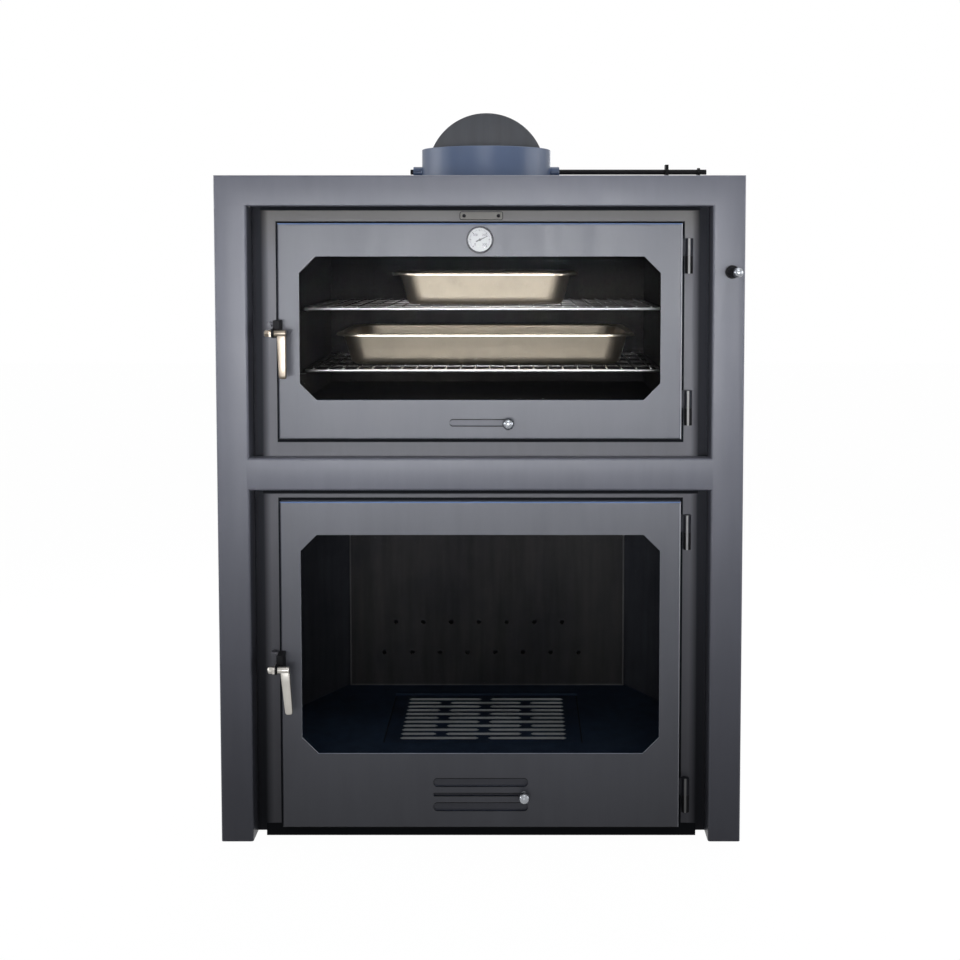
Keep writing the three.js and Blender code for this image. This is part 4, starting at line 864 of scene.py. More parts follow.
@dataclass
class FrontFrame:
    """Welded front frame: folded posts mitred into the top rail, and a middle rail."""

    half: float = 0.430
    height: float = 1.100
    front: float = -0.275
    post: float = 0.053
    top: float = 0.050
    outer: float = 0.060
    post_inner: float = 0.0437
    rail_inner: float = 0.0237
    sheet: float = 0.003
    bend: float = 0.004
    below_mitre: float = 0.0005
    rail_sink: float = 0.00002
    rail_bite: float = 0.006
    hole_radius: float = 0.008
    drill_reach: float = 0.01

    def channel(self, width: float, outer: float, inner: float) -> np.ndarray:
        """A folded sheet's section as a loop of (across, deep): leg, bend, web, bend, leg.

        Args:
            width: Width of the web.
            outer: Depth of the leg at 0 across.
            inner: Depth of the leg at the full width.

        Returns:
            The closed loop's points.
        """
        bend, sheet, far = self.bend, self.sheet, width - self.bend
        return np.vstack([
            [(0, outer)], arc((bend, bend), bend, 180, 270, 6), arc((far, bend), bend, 270, 360, 6),
            [(width, inner), (width - sheet, inner)],
            arc((far, bend), bend - sheet, 360, 270, 6),
            arc((bend, bend), bend - sheet, 270, 180, 6), [(sheet, outer)]])

    def hoop(self) -> Skin:
        """Both posts and the top rail as one section carried up, across and down."""
        across, deep = self.channel(self.post, self.outer, self.post_inner).T
        rail, shallow = self.channel(self.top, self.outer, self.rail_inner).T
        across, corner = across - self.half, self.height - self.top - self.below_mitre
        level = 0 * across
        left = [(across, deep, level), (across, deep, level + corner),
                (across, shallow, level + corner + self.below_mitre / 2),
                (across, shallow, self.height - rail)]
        right = [(-x, y, z) for x, y, z in reversed(left)]
        rows = np.array([np.column_stack(station) for station in (*left, *right)])
        return carried(rows + [0, self.front, 0])

    def middle(self) -> Skin:
        """The middle rail's section, carried across into both posts."""
        low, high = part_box("middle_rail")
        rail = self.channel(high[2] - low[2], self.rail_inner, self.rail_inner)
        reach = self.half - self.post + self.rail_bite
        section = np.column_stack([rail[:, 1] + self.front + self.rail_sink, rail[:, 0] + low[2]])
        return extruded(section, Axis.X, -reach, reach)

    def make(self) -> None:
        """Build the frame and drill the pull rod's hole."""
        piece = built("front_frame", [self.hoop(), self.middle()], Finish.FRAME, "root",
                      ["left_post", "right_post", "top_rail", "middle_rail"])
        x, _, z = middle_of("rod_ferrule")
        ends = (self.front - self.drill_reach, self.front + self.drill_reach)
        drill = outward(rod(Axis.Y, (x, 0.0, z), *ends, self.hole_radius, sides=40))
        cutter = linked("drill", mesh_of("drill", drill))
        cut = piece.modifiers.new("hole", "BOOLEAN")
        cut.object = cutter
        bpy.context.view_layer.update()
        drilled = bpy.data.meshes.new_from_object(
            piece.evaluated_get(bpy.context.evaluated_depsgraph_get()))
        piece.modifiers.clear()
        piece.data = drilled
        drilled.set_sharp_from_angle(angle=SMOOTH_ANGLE)
        bpy.data.objects.remove(cutter)


@dataclass
class Casework:
    """Recessed face plate, casing, doors and chambers, and a blank plate over the oven door."""

    # Radius of the dark rings painted as shadow round the door slots, and how deep they sink.
    slot_shadow: float = 0.0008
    slot_shadow_sink: float = 0.6
    # Radius of the light rods painted as highlights in the firebox's corners, how deep they sink,
    # and how high they reach.
    glint: float = 0.0016
    glint_sink: float = 0.4
    glint_top: float = 0.57
    # Each slot: half its width, its lift from the slide's middle, its height.
    vent_slots: tuple[Triple, ...] = ((0.05, 0.0, 0.011),)
    air_slots: tuple[Triple, ...] = (
        (0.0785, -0.0205, 0.014), (0.0785, 0.0, 0.005), (0.0785, 0.0205, 0.014))
    slot_round: float = 0.49
    plate_height: float = 0.0122
    plate_width: float = 0.069
    plate_place: Pair = (0.002, 1.0352)
    plate_before_folds: float = 0.01965
    plate_thickness: float = 0.0012
    plate_round: float = 0.003
    plate_bevel: float = 0.0004
    # Width and thickness of the black rim behind the plate, its painted shadow.
    shadow_width: float = 0.001
    shadow_thickness: float = 0.0004
    rivet_radius: float = 0.003
    rivet_dome: float = 0.5
    rivet_places: Pair = (-0.028, 0.028)

    finishes = {
        Finish.FRAME: "left_post right_post top_rail middle_rail",
        Finish.DOOR: "oven_door",
        Finish.LOWER_DOOR: "fire_door",
        Finish.SLIDE: "oven_vent_slide air_slide",
        Finish.HINGE: "oven_hinge_lower oven_hinge_upper fire_hinge_lower fire_hinge_upper",
        Finish.RECESS: "face_plate",
        Finish.CASING: "back_panel top_plate base_plate",
        Finish.SIDES: "left_side_panel right_side_panel",
        Finish.PIN: "oven_hinge_lower_pin oven_hinge_upper_pin fire_hinge_lower_pin "
                    "fire_hinge_upper_pin",
        Finish.BLACK: "damper_shaft shaft_stand pull_rod rod_ferrule oven_glass_retainer "
                      "fire_glass_retainer oven_handle_bracket fire_handle_bracket",
        Finish.CHAMBER: "oven_floor oven_roof oven_left_wall oven_right_wall oven_back_wall",
        Finish.FIREBACK: "back_lining",
        Finish.FIRELINING: "left_lining right_lining",
        Finish.FIREFLOOR: "fire_floor",
        Finish.GRATE: "grate",
        Finish.GALVANISED: "ash_pan",
        Finish.GLASS: "oven_glass fire_glass",
        Finish.ROPE: "oven_seal fire_seal",
        Finish.NICKEL: "oven_handle fire_handle thermometer_case",
        Finish.CHROME: "oven_vent_knob air_knob pull_knob",
        Finish.WIRE: "lower_rack upper_rack",
        Finish.PAN: "large_pan small_pan",
        Finish.COLLAR: "flue_collar",
        Finish.DISC: "damper_disc",
        Finish.DIAL: "thermometer_dial",
        Finish.PRINT: "thermometer_needle",
    }

    def dress(self) -> None:
        """Give every CAD node its finish."""
        for finish, names in self.finishes.items():
            for name in names.split():
                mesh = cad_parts[name].data
                mesh.materials.clear()
                mesh.materials.append(material_of(finish))

    def bare_plate(self) -> None:
        """A small blank plate with two rivets, over the oven door, on a black rim laid as its
        painted shadow.
        """
        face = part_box("face_plate")[1][1] - self.plate_before_folds
        x, z = self.plate_place

        def sheet(extra: float, thickness: float) -> Skin:
            """The plate's outline, wider by extra all round, with a thickness."""
            half = (self.plate_height / 2 + extra, self.plate_width / 2 + extra)
            outline = rounded_loop(half, self.plate_round + extra, steps=4)
            return extruded(outline, Axis.Y, -thickness, 0).moved((x, face, z))

        radius, height = self.rivet_radius, self.rivet_radius * self.rivet_dome
        dome = [(radius * math.sin(a), -height * math.cos(a))
                for a in np.radians([2, 25, 50, 75, 90])]
        rivets = [turned(dome, Axis.Y, (x + place, face - self.plate_thickness, z), sides=24)
                  for place in self.rivet_places]
        built("bare_plate", [sheet(0.0, self.plate_thickness)], Finish.PLATE, "root",
              bevel=self.plate_bevel)
        # A thin black rim just wider than the plate, behind it: painted shadow round its edge.
        built("bare_plate_shadow", [sheet(self.shadow_width, self.shadow_thickness)], Finish.BLACK,
              "root")
        built("plate_rivets", rivets, Finish.BLACK, "root")

    def slot_edges(self) -> None:
        """Dark rings round the air slots that are cut through the doors, painted shadow along the
        slots' edges.
        """
        for door, slide, slots in (("oven_door", "oven_vent_slide", self.vent_slots),
                                   ("fire_door", "air_slide", self.air_slots)):
            face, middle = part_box(door)[0][1], middle_of(slide)[2]
            skins = []
            for half, lift, tall in slots:
                loop = rounded_loop((half, tall / 2), tall * self.slot_round, steps=8)
                depth = np.full(len(loop), face + self.slot_shadow * self.slot_shadow_sink)
                course = np.column_stack([loop[:, 0], depth, middle + lift + loop[:, 1]])
                skins.append(swept(course, self.slot_shadow, sides=8))
            built(door + "_slot_edges", skins, Finish.BLACK, door)

    def hearth_glints(self) -> None:
        """Thin light rods in the firebox's rear corners and along the foot of its back, painted
        highlights along these edges.
        """
        left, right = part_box("left_lining")[1][0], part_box("right_lining")[0][0]
        foot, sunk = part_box("fire_floor")[1][2], self.glint * self.glint_sink
        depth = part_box("back_lining")[0][1] - sunk
        glints = [rod(Axis.Z, (x, depth, 0.0), foot, self.glint_top, self.glint, sides=10)
                for x in (left + sunk, right - sunk)]
        glints.append(rod(Axis.X, (0.0, depth, foot + sunk), left, right, self.glint, sides=10))
        built("hearth_glints", glints, Finish.GLINT, "root")

    def make(self) -> None:
        """Dress the nodes and add the plate, the slots' painted shadow rings and the rods painted
        as corner highlights.
        """
        self.dress()
        self.hearth_glints()
        self.bare_plate()
        self.slot_edges()


@dataclass
class Flue:
    """Plain round collar with its weld and bosses, and the throttle disc."""

    place: Pair = (0.0, 0.181)
    outer: float = 0.125
    wall: float = 0.003
    foot: float = 1.0903
    rim: float = 1.173
    rim_ease: float = 0.0008
    flange: float = 0.016
    fillet: float = 0.006
    axis_height: float = 1.131
    bore: float = 0.0056
    boss_radius: float = 0.010
    boss_length: float = 0.017
    boss_sink: float = 0.001
    boss_ease: float = 0.001
    disc_radius: float = 0.115
    disc_ease: float = 0.0008

    def collar(self) -> Skin:
        """The shell with its flange and the weld between them, turned in one."""
        outer, inner, ease = self.outer, self.outer - self.wall, self.rim_ease
        flange, round_off = (outer + self.flange, self.foot + self.wall), self.fillet
        weld = [(outer + round_off * (1 - math.sin(a)), flange[1] + round_off * (1 - math.cos(a)))
                for a in np.radians([0, 30, 60, 90])]
        profile = [(inner, self.foot), (flange[0], self.foot), flange, *weld,
                   (outer, self.rim - ease), (outer - ease, self.rim),
                   (inner + ease, self.rim), (inner, self.rim - ease)]
        return turned(profile, Axis.Z, (*self.place, 0.0), sides=160, ring=True)

    def boss(self, side: int) -> Skin:
        """The shaft's boss on one side, -1 for the left and 1 for the right."""
        low, high = sorted((side * (self.outer - self.boss_sink),
                            side * (self.outer + self.boss_length)))
        radius, ease = self.boss_radius, self.boss_ease
        profile = [(self.bore, low), (radius, low), (radius, high - ease),
                   (radius - ease, high), (self.bore, high)]
        return turned(profile, Axis.X, (*self.place, self.axis_height), sides=40, ring=True)

    def make(self) -> None:
        """Build the collar and the disc."""
        built("collar_shell", [self.collar(), self.boss(-1), self.boss(1)], Finish.COLLAR,
              "root", ["flue_collar"])
        low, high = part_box("damper_disc")
        disc = rod(Axis.Y, (self.place[0], 0.0, self.axis_height), low[1], high[1],
                   self.disc_radius, 128, self.disc_ease)
        built("throttle_disc", [disc], Finish.DISC, "damper", ["damper_disc"])


@dataclass
class Knobs:
    """Bright ball knobs of the two slides and the pull rod."""

    door_face: float = -0.2733
    slide_ball: float = 0.0095
    slide_turn: float = 148.0
    # Radius and place before the door's face of each ring.
    neck: tuple[Pair, ...] = (
        (0.0034, -0.004), (0.0042, -0.0022), (0.0058, -0.0014), (0.006, -0.0004), (0.0058, 0.0),
        (0.002, 0.0))
    stem: float = 0.002
    pull_ball: float = 0.008
    pull_turn: float = 150.0
    foot: tuple[Pair, ...] = ((0.0042, -0.0004), (0.0040, 0.0))
    pole: float = 0.0001

    def ball(self, radius: float, centre: float, turn: float) -> list[Pair]:
        """A ball's profile from its front pole, turn degrees round."""
        return [(max(radius * math.sin(a), self.pole), centre - radius * math.cos(a))
                for a in np.radians(np.linspace(0, turn, 22))]

    def slide_knob(self, node: str, body: str) -> None:
        """A ball on a waisted neck with a flange, and the stem behind it."""
        low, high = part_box(node)
        x, _, z = middle_of(node)
        profile = [*self.ball(self.slide_ball, low[1] + self.slide_ball, self.slide_turn),
                   *[(radius, self.door_face + place) for radius, place in self.neck],
                   (self.stem, high[1])]
        built(node + "_ball", [turned(profile, Axis.Y, (x, 0.0, z), 48)], Finish.CHROME, body,
              [node])

    def pull_knob(self) -> None:
        """A ball with a flat screwed foot on the pull rod."""
        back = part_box("pull_knob")[1][1]
        x, y, z = middle_of("pull_knob")
        profile = [*self.ball(self.pull_ball, y, self.pull_turn),
                   *[(radius, back + place) for radius, place in self.foot]]
        built("pull_ball", [turned(profile, Axis.Y, (x, 0.0, z), 48)], Finish.CHROME, "pull",
              ["pull_knob"])

    def make(self) -> None:
        """Build all three."""
        self.slide_knob("oven_vent_knob", "oven_vent")
        self.slide_knob("air_knob", "air_register")
        self.pull_knob()


@dataclass
class Handles:
    """Turning door handles: a hub, a narrowing flat grip, an axle, a hook and a bolt head."""

    depth: float = -0.313
    hub: Pair = (-0.3274, -0.3075)
    hub_radius: float = 0.0056
    hub_ease: float = 0.001
    hook_sides: Pair = (-0.3346, -0.3309)
    axle_radius: float = 0.0034
    axle_inset: float = 0.005
    head_left: float = -0.3426
    head_radius: float = 0.006
    # Share of the radius, and place from the left end, of each ring.
    head_steps: tuple[Pair, ...] = ((0.55, 0.0), (0.82, 0.0007), (1.0, 0.002), (1.0, 0.008))
    grip_widths: Pair = (0.0152, 0.0122)
    grip_thick: float = 0.008
    grip_round: float = 0.0024
    grip_length: float = 0.073
    # Shares of the grip's length, and how far its section shrinks at some of them.
    grip_places: tuple[float, ...] = (-0.06, -0.03, 0.0, 0.25, 0.5, 0.75, 0.93, 0.965, 0.985, 1.0)
    grip_insets: tuple[Pair, ...] = (
        (-0.06, 0.0022), (-0.03, 0.0007), (0.0, 0.0), (0.93, 0.0), (0.965, 0.0004),
        (0.985, 0.0011), (1.0, 0.0024))
    hook_outline: tuple[Pair, ...] = (
        (-0.006, -0.005), (0.0605, -0.005), (0.0605, 0.0086), (0.0555, 0.0086), (0.0555, 0.003),
        (0.0075, 0.003), (0.004, 0.0052), (0.0, 0.006), (-0.004, 0.0052), (-0.006, 0.003))
    heights: Pair = (0.84673, 0.30118)
    leans: Pair = (0.0, 3.8)
    bevel: float = 0.0004
    head_bevel: float = 0.0005

    def grip(self, height: float, lean: float) -> Skin:
        """A rounded flat bar that narrows downwards, with eased ends, leaning by some degrees."""
        share = np.array(self.grip_places)
        inset = np.interp(share, *np.array(self.grip_insets).T)
        wide, narrow = self.grip_widths
        width = wide + (narrow - wide) * np.clip(share, 0, 1)
        rings = []
        for t, small, across in zip(share, inset, width):
            half = (across / 2 - small, self.grip_thick / 2 - small)
            loop = rounded_loop(half, self.grip_round, steps=5)
            rings.append(np.column_stack([loop[:, 0] - across / 2, loop[:, 1],
                                          np.full(len(loop), -t * self.grip_length)]))
        points = np.array(rings)
        turn = math.radians(-lean)
        x, z = points[..., 0].copy(), points[..., 2].copy()
        points[..., 0] = x * math.cos(turn) + z * math.sin(turn) + self.hub[1]
        points[..., 2] = z * math.cos(turn) - x * math.sin(turn) + height
        return carried(points + [0, self.depth, 0])

    def hook(self, height: float) -> Skin:
        """A flat hook behind the hub whose nose stands up behind the keeper's pin."""
        outline = np.array(self.hook_outline) + [self.depth, height]
        return extruded(outline, Axis.X, *self.hook_sides)

    def head(self, height: float) -> Skin:
        """A six-sided bolt head with a domed end."""
        profile = [(self.head_radius * r, self.head_left + t) for r, t in self.head_steps]
        return turned(profile, Axis.X, (0.0, self.depth, height), sides=6)

    def make(self) -> None:
        """Build both handles."""
        for door, height, lean, metal in zip(
                ("oven", "fire"), self.heights, self.leans, (Finish.NICKEL, Finish.STEEL)):
            centre = (0.0, self.depth, height)
            hub = rod(Axis.X, centre, *self.hub, self.hub_radius, 40, self.hub_ease)
            axle = rod(Axis.X, centre, self.hook_sides[0], self.hub[1] - self.axle_inset,
                       self.axle_radius, 24)
            built(f"{door}_handle_form", [hub, axle, self.grip(height, lean), self.hook(height)],
                  metal, f"{door}_handle", [f"{door}_handle"], bevel=self.bevel)
            built(f"{door}_handle_bolt", [self.head(height)], metal, f"{door}_handle",
                  bevel=self.head_bevel)


@dataclass
class Racks:
    """Wire racks: a round rim with bent corners, cross wires and close long wires on top."""

    rim_wire: float = 0.0025
    long_wire: float = 0.0012
    long_bite: float = 0.0004
    long_inset: float = 0.0002
    long_ease: float = 0.0006
    pitch: float = 0.0254
    corner: float = 0.012
    cross_count: int = 3
    cross_share: float = 0.8

    def rack(self, node: str) -> None:
        """Build one rack in its node's box."""
        low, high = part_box(node)
        half_x, half_y = ((high[i] - low[i]) / 2 - self.rim_wire for i in range(2))
        middle, level = (low[1] + high[1]) / 2, low[2] + self.rim_wire
        loop = rounded_loop((half_x, half_y), self.corner, steps=6) + [0.0, middle]
        rim = swept(at_height(loop, level), self.rim_wire)
        top = level + self.rim_wire + self.long_wire - self.long_bite
        reach = half_y + self.rim_wire - self.long_inset
        spaces = int(2 * (half_x - self.pitch / 2) / self.pitch)
        wires = [rod(Axis.Y, ((i - spaces / 2) * self.pitch, 0.0, top), middle - reach,
                     middle + reach, self.long_wire, 10, self.long_ease) for i in range(spaces + 1)]
        places = [middle + half_y * (2 * (i + 1) / (self.cross_count + 1) - 1)
                  for i in range(self.cross_count)]
        cross_wire = self.rim_wire * self.cross_share
        crosses = [rod(Axis.X, (0.0, y, level), -half_x, half_x, cross_wire, sides=12)
                   for y in places]
        built(node + "_wires", [rim, *crosses, *wires], Finish.WIRE, "root", [node])

    def make(self) -> None:
        """Build both racks."""
        self.rack("lower_rack")
        self.rack("upper_rack")


@dataclass
class Pans:
    """Drawn baking pans: a wall that leans and rounds into the floor, a rim and a turned lip."""

    wall: float = 0.0012
    rim_width: float = 0.014
    rim_ease: float = 0.0012
    lip: float = 0.004
    corner: float = 0.034
    mouth_inset: float = 0.002
    mouth_round: float = 0.003
    mouth_corner: float = 0.001
    taper: float = 0.009
    floor_round: float = 0.014
    corner_shrink: float = 0.6
    outer_corner: float = 0.5
    under_inset: float = 0.0008
    under_drop: float = 0.002
    bead: float = 0.0017
    touch: float = 1e-9

    def section(self, depth: float) -> list[Triple]:
        """Insets, heights and corner radii from the outer lip over the rim, down and out below.

        Args:
            depth: Height from the floor's underside to the rim's top.

        Returns:
            One (inset, height, corner radius) for each loop.
        """
        w, rim, corner, inside = self.wall, self.rim_width, self.corner, self.floor_round
        outside, mouth = corner + rim, self.mouth_round
        ease = [(math.sin(a), math.cos(a)) for a in np.radians(np.linspace(0, 90, 5))]
        edge = [(w, depth - self.lip, outside - w), (0.0, depth - self.lip, outside)]
        edge += [(self.rim_ease * (1 - s), depth - self.rim_ease * (1 - c), outside)
                 for s, c in ease[::-1]]
        top = [(rim - self.mouth_inset + mouth * s, depth - mouth * (1 - c),
                corner + self.mouth_corner) for s, c in ease]
        bottom = [(rim + w + self.taper + inside * (1 - c), w + inside * (1 - s),
                   corner - inside * (1 - c) * self.corner_shrink) for s, c in ease]
        below = [(inset - w, height - w, radius + w * self.outer_corner)
                 for inset, height, radius in bottom[::-1]]
        under = [(rim - self.under_inset, depth - w - self.under_drop, corner + self.mouth_corner),
                 (w, depth - w, outside - w)]
        return [*edge, *top, *bottom, *below, *under]

    def pan(self, node: str) -> None:
        """Build one pan in its node's box, with its rim's bead in a whiter copy of the steel, a
        painted highlight.
        """
        low, high = (np.array(corner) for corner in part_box(node))
        half, middle = (high - low) / 2, (high + low) / 2

        def ring(inset: float, level: float, corner: float, steps: int) -> np.ndarray:
            """One loop of the pan at a level, inset from its box."""
            loop = rounded_loop((half[0] - inset, half[1] - inset), corner, steps)
            return at_height(loop + middle[:2], level)

        loops = self.section(high[2] - low[2])
        grid = np.array([ring(inset, low[2] + height, corner, 10)
                         for inset, height, corner in loops])
        split = [height <= self.wall + self.touch for _, height, _ in loops].index(True) + 1
        upper, lower = (carried(part[::-1], cap=False) for part in (grid[:split], grid[split:]))
        start, columns = len(upper.points), grid.shape[1]
        inner, outer = np.arange(columns), start + len(lower.points) - columns + np.arange(columns)
        joint = np.stack([start + inner, start - columns + inner], 1)
        after = np.roll(joint, -1, 0)
        walls = np.column_stack([after[:, 0], after[:, 1], joint[:, 1], joint[:, 0]])
        skin = joined([upper, lower])
        skin.faces += [*map(tuple, walls.tolist()), tuple(inner.tolist()),
                       tuple(outer[::-1].tolist())]
        built(node + "_shell", [skin], Finish.PAN, "root", [node])
        # The bead takes a whiter copy of the steel, a painted highlight along the rim.
        bead = self.bead
        course = ring(bead, high[2] - bead, self.corner + self.rim_width - bead, 12)
        built(node + "_bead", [swept(course, bead)], Finish.RIM_HIGHLIGHT, "root")

    def make(self) -> None:
        """Build both pans."""
        self.pan("large_pan")
        self.pan("small_pan")


@dataclass
class Gauge:
    """Dial thermometer: its bezel, a black ring behind it as painted shadow, ticks and numbers on
    the dial, and its lens.
    """

    tick_count: int = 31
    sweep: float = 270.0
    first: float = 225.0
    back: float = 0.007
    stem: float = 0.0034
    lip: float = 0.0011
    # Insets of the back's flat and edge, and the edge's drop.
    rear_ease: Triple = (0.003, 0.0004, 0.001)
    # Inset of the bezel's seat, and its place behind the dial's front.
    seat: Pair = (0.0024, 0.0014)
    # The black ring behind the case, painted as its shadow: each point's reach beyond the case's
    # radius and behind its back.
    collar: tuple[Pair, ...] = (
        (-0.002, -0.0002), (0.0006, -0.0002), (0.0006, 0.0014), (-0.002, 0.0014))
    pole: float = 0.0001
    tick_end: float = 0.0168
    # Inner end and half width of a long tick, then of a short one.
    tick_sizes: tuple[Pair, ...] = ((0.0138, 0.00048), (0.0150, 0.00026))
    tick_height: float = 0.0001
    long_every: int = 5
    number_every: int = 10
    number_size: float = 0.0056
    number_radius: float = 0.0108
    number_depth: float = 0.00005
    number_lift: float = 0.00006
    # Front and back of the lens behind the case's front, and its inset.
    glass: Triple = (0.0006, 0.0012, 0.0025)

    def make(self) -> None:
        """Build the case, the print and the lens."""
        low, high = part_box("thermometer_case")
        x, _, z = middle_of("thermometer_case")
        radius, front = (high[0] - low[0]) / 2, low[1]
        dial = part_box("thermometer_dial")[0][1]
        back, (inset, edge, drop) = front + self.back, self.rear_ease
        lip = [(radius - self.lip * (1 - math.cos(a)), front + self.lip * (1 - math.sin(a)))
               for a in np.radians(np.linspace(0, 180, 9))]
        seat = dial + self.seat[1]
        profile = [(self.pole, high[1]), (self.stem, high[1]), (self.stem, back),
                   (radius - inset, back), (radius - edge, back - drop), *lip,
                   (radius - self.seat[0], seat), (self.pole, seat)]
        centre = (x, 0.0, z)
        built("gauge_case", [turned(profile[::-1], Axis.Y, centre, 72)], Finish.BEZEL, "oven_door",
              ["thermometer_case"])
        # A black ring just wider than the case round its back: painted shadow of the thermometer.
        ring = [(radius + out, back + behind) for out, behind in (*self.collar, self.collar[0])]
        built("gauge_shadow_ring", [turned(ring, Axis.Y, centre, 72)], Finish.BLACK, "oven_door")
        self.print_ticks(x, z, dial)
        self.print_numbers(x, z, dial)
        glass = rod(Axis.Y, centre, front + self.glass[0], front + self.glass[1],
                    radius - self.glass[2], 64)
        built("gauge_lens", [glass], Finish.LENS, "oven_door")

    def way(self, tick: int) -> np.ndarray:
        """The direction of a tick from the dial's middle, as (across, up)."""
        angle = math.radians(self.first - self.sweep * tick / (self.tick_count - 1))
        return np.array([math.cos(angle), math.sin(angle)])

    def print_ticks(self, x: float, z: float, dial: float) -> None:
        """Thin ticks round the dial, longer at every fifth."""
        skins = []
        for i in range(self.tick_count):
            inner, half = self.tick_sizes[i % self.long_every > 0]
            way, end = self.way(i), self.tick_end
            aside = np.array([-way[1], way[0]]) * half
            corners = [way * inner - aside, way * end - aside, way * end + aside,
                       way * inner + aside]
            outline = np.array(corners)[:, ::-1]
            skins.append(extruded(outline, Axis.Y, dial - self.tick_height, dial).moved((x, 0, z)))
        built("gauge_ticks", skins, Finish.PRINT, "oven_door", smooth=False)

    def print_numbers(self, x: float, z: float, dial: float) -> None:
        """Plain numbers at every tenth tick."""
        for i in range(0, self.tick_count, self.number_every):
            name = f"gauge_number_{i * 10}"
            curve = bpy.data.curves.new(f"number_{i}", "FONT")
            curve.body, curve.size = str(i * 10), self.number_size
            curve.align_x = curve.align_y = "CENTER"
            curve.extrude = self.number_depth
            text = linked(name, curve)
            bpy.context.view_layer.update()
            mesh = bpy.data.meshes.new_from_object(text)
            flat = np.empty(len(mesh.vertices) * 3)
            mesh.vertices.foreach_get("co", flat)
            across, up, out = flat.reshape(-1, 3).T
            place = self.way(i) * self.number_radius
            placed = np.column_stack([
                x + across + place[0], dial - self.number_lift - out, z + up + place[1]])
            mesh.vertices.foreach_set("co", placed.ravel())
            mesh.materials.clear()
            mesh.materials.append(material_of(Finish.PRINT))
            bpy.data.objects.remove(text)
            piece = linked(name, mesh)
            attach(piece, "oven_door")


@dataclass(frozen=True)
class Lamp:
    """A rectangular lamp: its place and aim, width and height, watts and beam in degrees."""

    name: str
    place: Triple
    aim: Triple
    size: Pair
    power: float
    spread: float
    tint: Triple = (0.955, 0.97, 1.0)

    def make(self) -> None:
        """Put the lamp into the scene, turned from straight down towards its aim."""
        data = bpy.data.lights.new(self.name, "AREA")
        data.spread = math.radians(self.spread)
        data.shape = "RECTANGLE"
        data.size, data.size_y = self.size
        data.energy = self.power
        data.color = self.tint
        lamp = linked(self.name, data)
        lamp.location = self.place
        way = np.array(self.aim) - np.array(self.place)
        tilt, heading = math.acos(-way[2] / np.linalg.norm(way)), math.atan2(way[1], way[0])
        lamp.rotation_euler = (tilt, 0.0, heading - math.pi / 2)


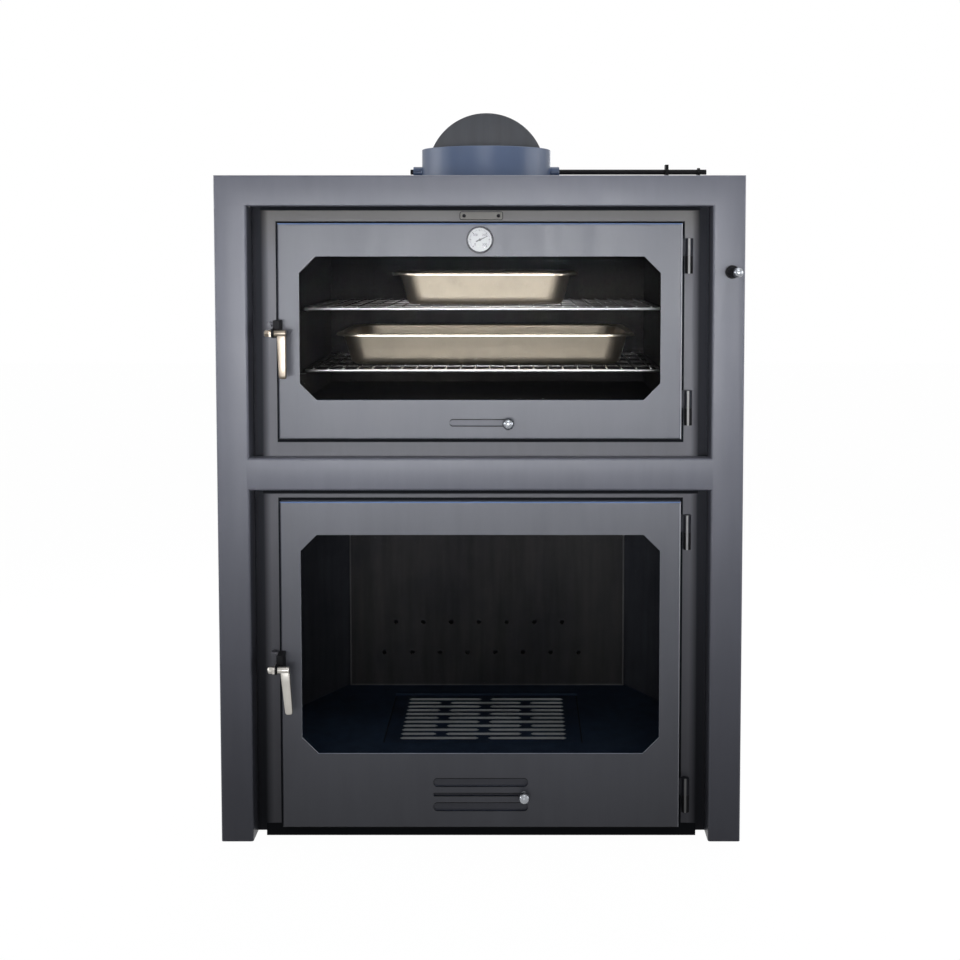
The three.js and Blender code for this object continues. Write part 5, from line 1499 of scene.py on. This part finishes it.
@dataclass
class Studio:
    """Camera at the photograph's place, a pale floor and soft lamps."""

    place: Triple = (0.0628, -2.425, 0.9807)
    pitch: float = 3.3
    lens: float = 49.8
    sensor: float = 36.0
    shift: Pair = (-0.0402, -0.1606)
    sky: float = 0.1
    sky_tone: Colour = (0.92, 0.95, 1.0, 1.0)
    floor_half: float = 9.0
    floor_tone: float = 0.2
    floor_roughness: float = 0.9
    floor_gloss: float = 0.1
    floor_share: float = 0.82
    floor_glow: float = 1.2

    lamps = (
        Lamp("key", (-0.3, -3.2, 0.75), (0.0, -0.27, 0.87), (1.7, 0.9), 1.1, 36.0),
        Lamp("middle", (-0.3, -3.2, 0.75), (0.0, -0.27, 0.76), (1.6, 0.7), 1.35, 28.0),
        Lamp("band", (0.1, -2.7, 0.85), (0.05, -0.27, 0.84), (2.6, 0.5), 3.5, 28.0),
        Lamp("over", (0.1, -0.95, 1.75), (0.0, -0.25, 0.94), (1.4, 0.4), 1.0, 56.0),
        Lamp("corner_left", (-2.2, -2.3, 1.0), (0.0, -0.1, 0.86), (0.12, 0.6), 0.57, 30.0),
        Lamp("corner_right", (2.2, -2.3, 1.0), (0.0, -0.1, 0.86), (0.12, 0.6), 0.57, 30.0),
        Lamp("edge_left", (-2.9, -0.5, 1.1), (0.0, -0.28, 0.75), (0.7, 1.2), 0.86, 36.0),
        Lamp("edge_right", (2.9, -0.5, 1.1), (0.0, -0.28, 0.75), (0.7, 1.2), 0.86, 36.0),
        Lamp("top", (0.2, 0.5, 2.9), (0.0, 0.3, 1.1), (1.8, 1.8), 8.6, 90.0),
        Lamp("side_left", (-3.2, 0.6, 1.0), (-0.4, 0.2, 0.5), (1.8, 1.4), 6.4, 60.0),
        Lamp("side_right", (3.2, 0.6, 1.0), (0.4, 0.2, 0.5), (1.8, 1.4), 6.4, 60.0),
        Lamp("behind", (0.3, 3.4, 1.3), (0.0, 0.3, 0.6), (1.8, 1.4), 7.0, 70.0),
    )

    def camera(self) -> None:
        """Set the camera, level but for a slight tilt down."""
        data = bpy.data.cameras.new("camera")
        data.lens = self.lens
        data.sensor_width = self.sensor
        data.shift_x, data.shift_y = self.shift
        holder = linked("camera", data)
        holder.location = self.place
        holder.rotation_euler = (math.radians(90 - self.pitch), 0.0, 0.0)
        bpy.context.scene.camera = holder

    def world(self) -> None:
        """A dim even sky for lighting, and white where the camera, metal or glass looks at it."""
        world = bpy.data.worlds.new("sky")
        bpy.context.scene.world = world
        world.use_nodes = True
        nodes = Nodes(world.node_tree)
        dim, white = (nodes.node("ShaderNodeBackground", {}, {"Color": tone, "Strength": strength})
                      for tone, strength in ((self.sky_tone, self.sky), (WHITE, 1.0)))
        mix = nodes.node("ShaderNodeMixShader", {}, {0: nodes.seen(), 1: dim, 2: white})
        output = nodes.tree.nodes.new("ShaderNodeOutputWorld")
        nodes.put(output.inputs["Surface"], mix)

    def floor(self) -> None:
        """A wide pale floor that the stove's shadow falls on."""
        graph = Graph("floor_paper")
        graph.shade(Base_Color=(*[self.floor_tone] * 3, 1.0), Roughness=self.floor_roughness,
                    Specular_IOR_Level=self.floor_gloss)
        lit = Signal(graph, graph.shader.outputs[0])
        glow = graph.node("ShaderNodeEmission", {}, {"Strength": self.floor_glow})
        share = graph.seen() * self.floor_share
        mix = graph.node("ShaderNodeMixShader", {}, {0: share, 1: lit, 2: glow})
        graph.put(graph.output.inputs["Surface"], mix)
        x = y = self.floor_half
        corners = np.array([(-x, -y, 0), (x, -y, 0), (x, y, 0), (-x, y, 0)])
        mesh = mesh_of("floor", Skin(corners, [(0, 1, 2, 3)]))
        mesh.materials.append(graph.material)
        floor = linked("floor", mesh)

    def make(self) -> None:
        """Set up the whole studio."""
        bpy.context.scene.view_settings.view_transform = "Standard"
        self.camera()
        self.world()
        self.floor()
        for lamp in self.lamps:
            lamp.make()


def main() -> None:
    """Build the stove's pieces in order and report each."""
    logging.basicConfig(level=logging.INFO, format="%(message)s")
    Studio().make()
    for kind in (Casework, FrontFrame, Flue, Knobs, Handles, Racks, Pans, Gauge):
        kind().make()
        LOG.info("%s done", kind.__name__)


if __name__ == "__main__":
    main()
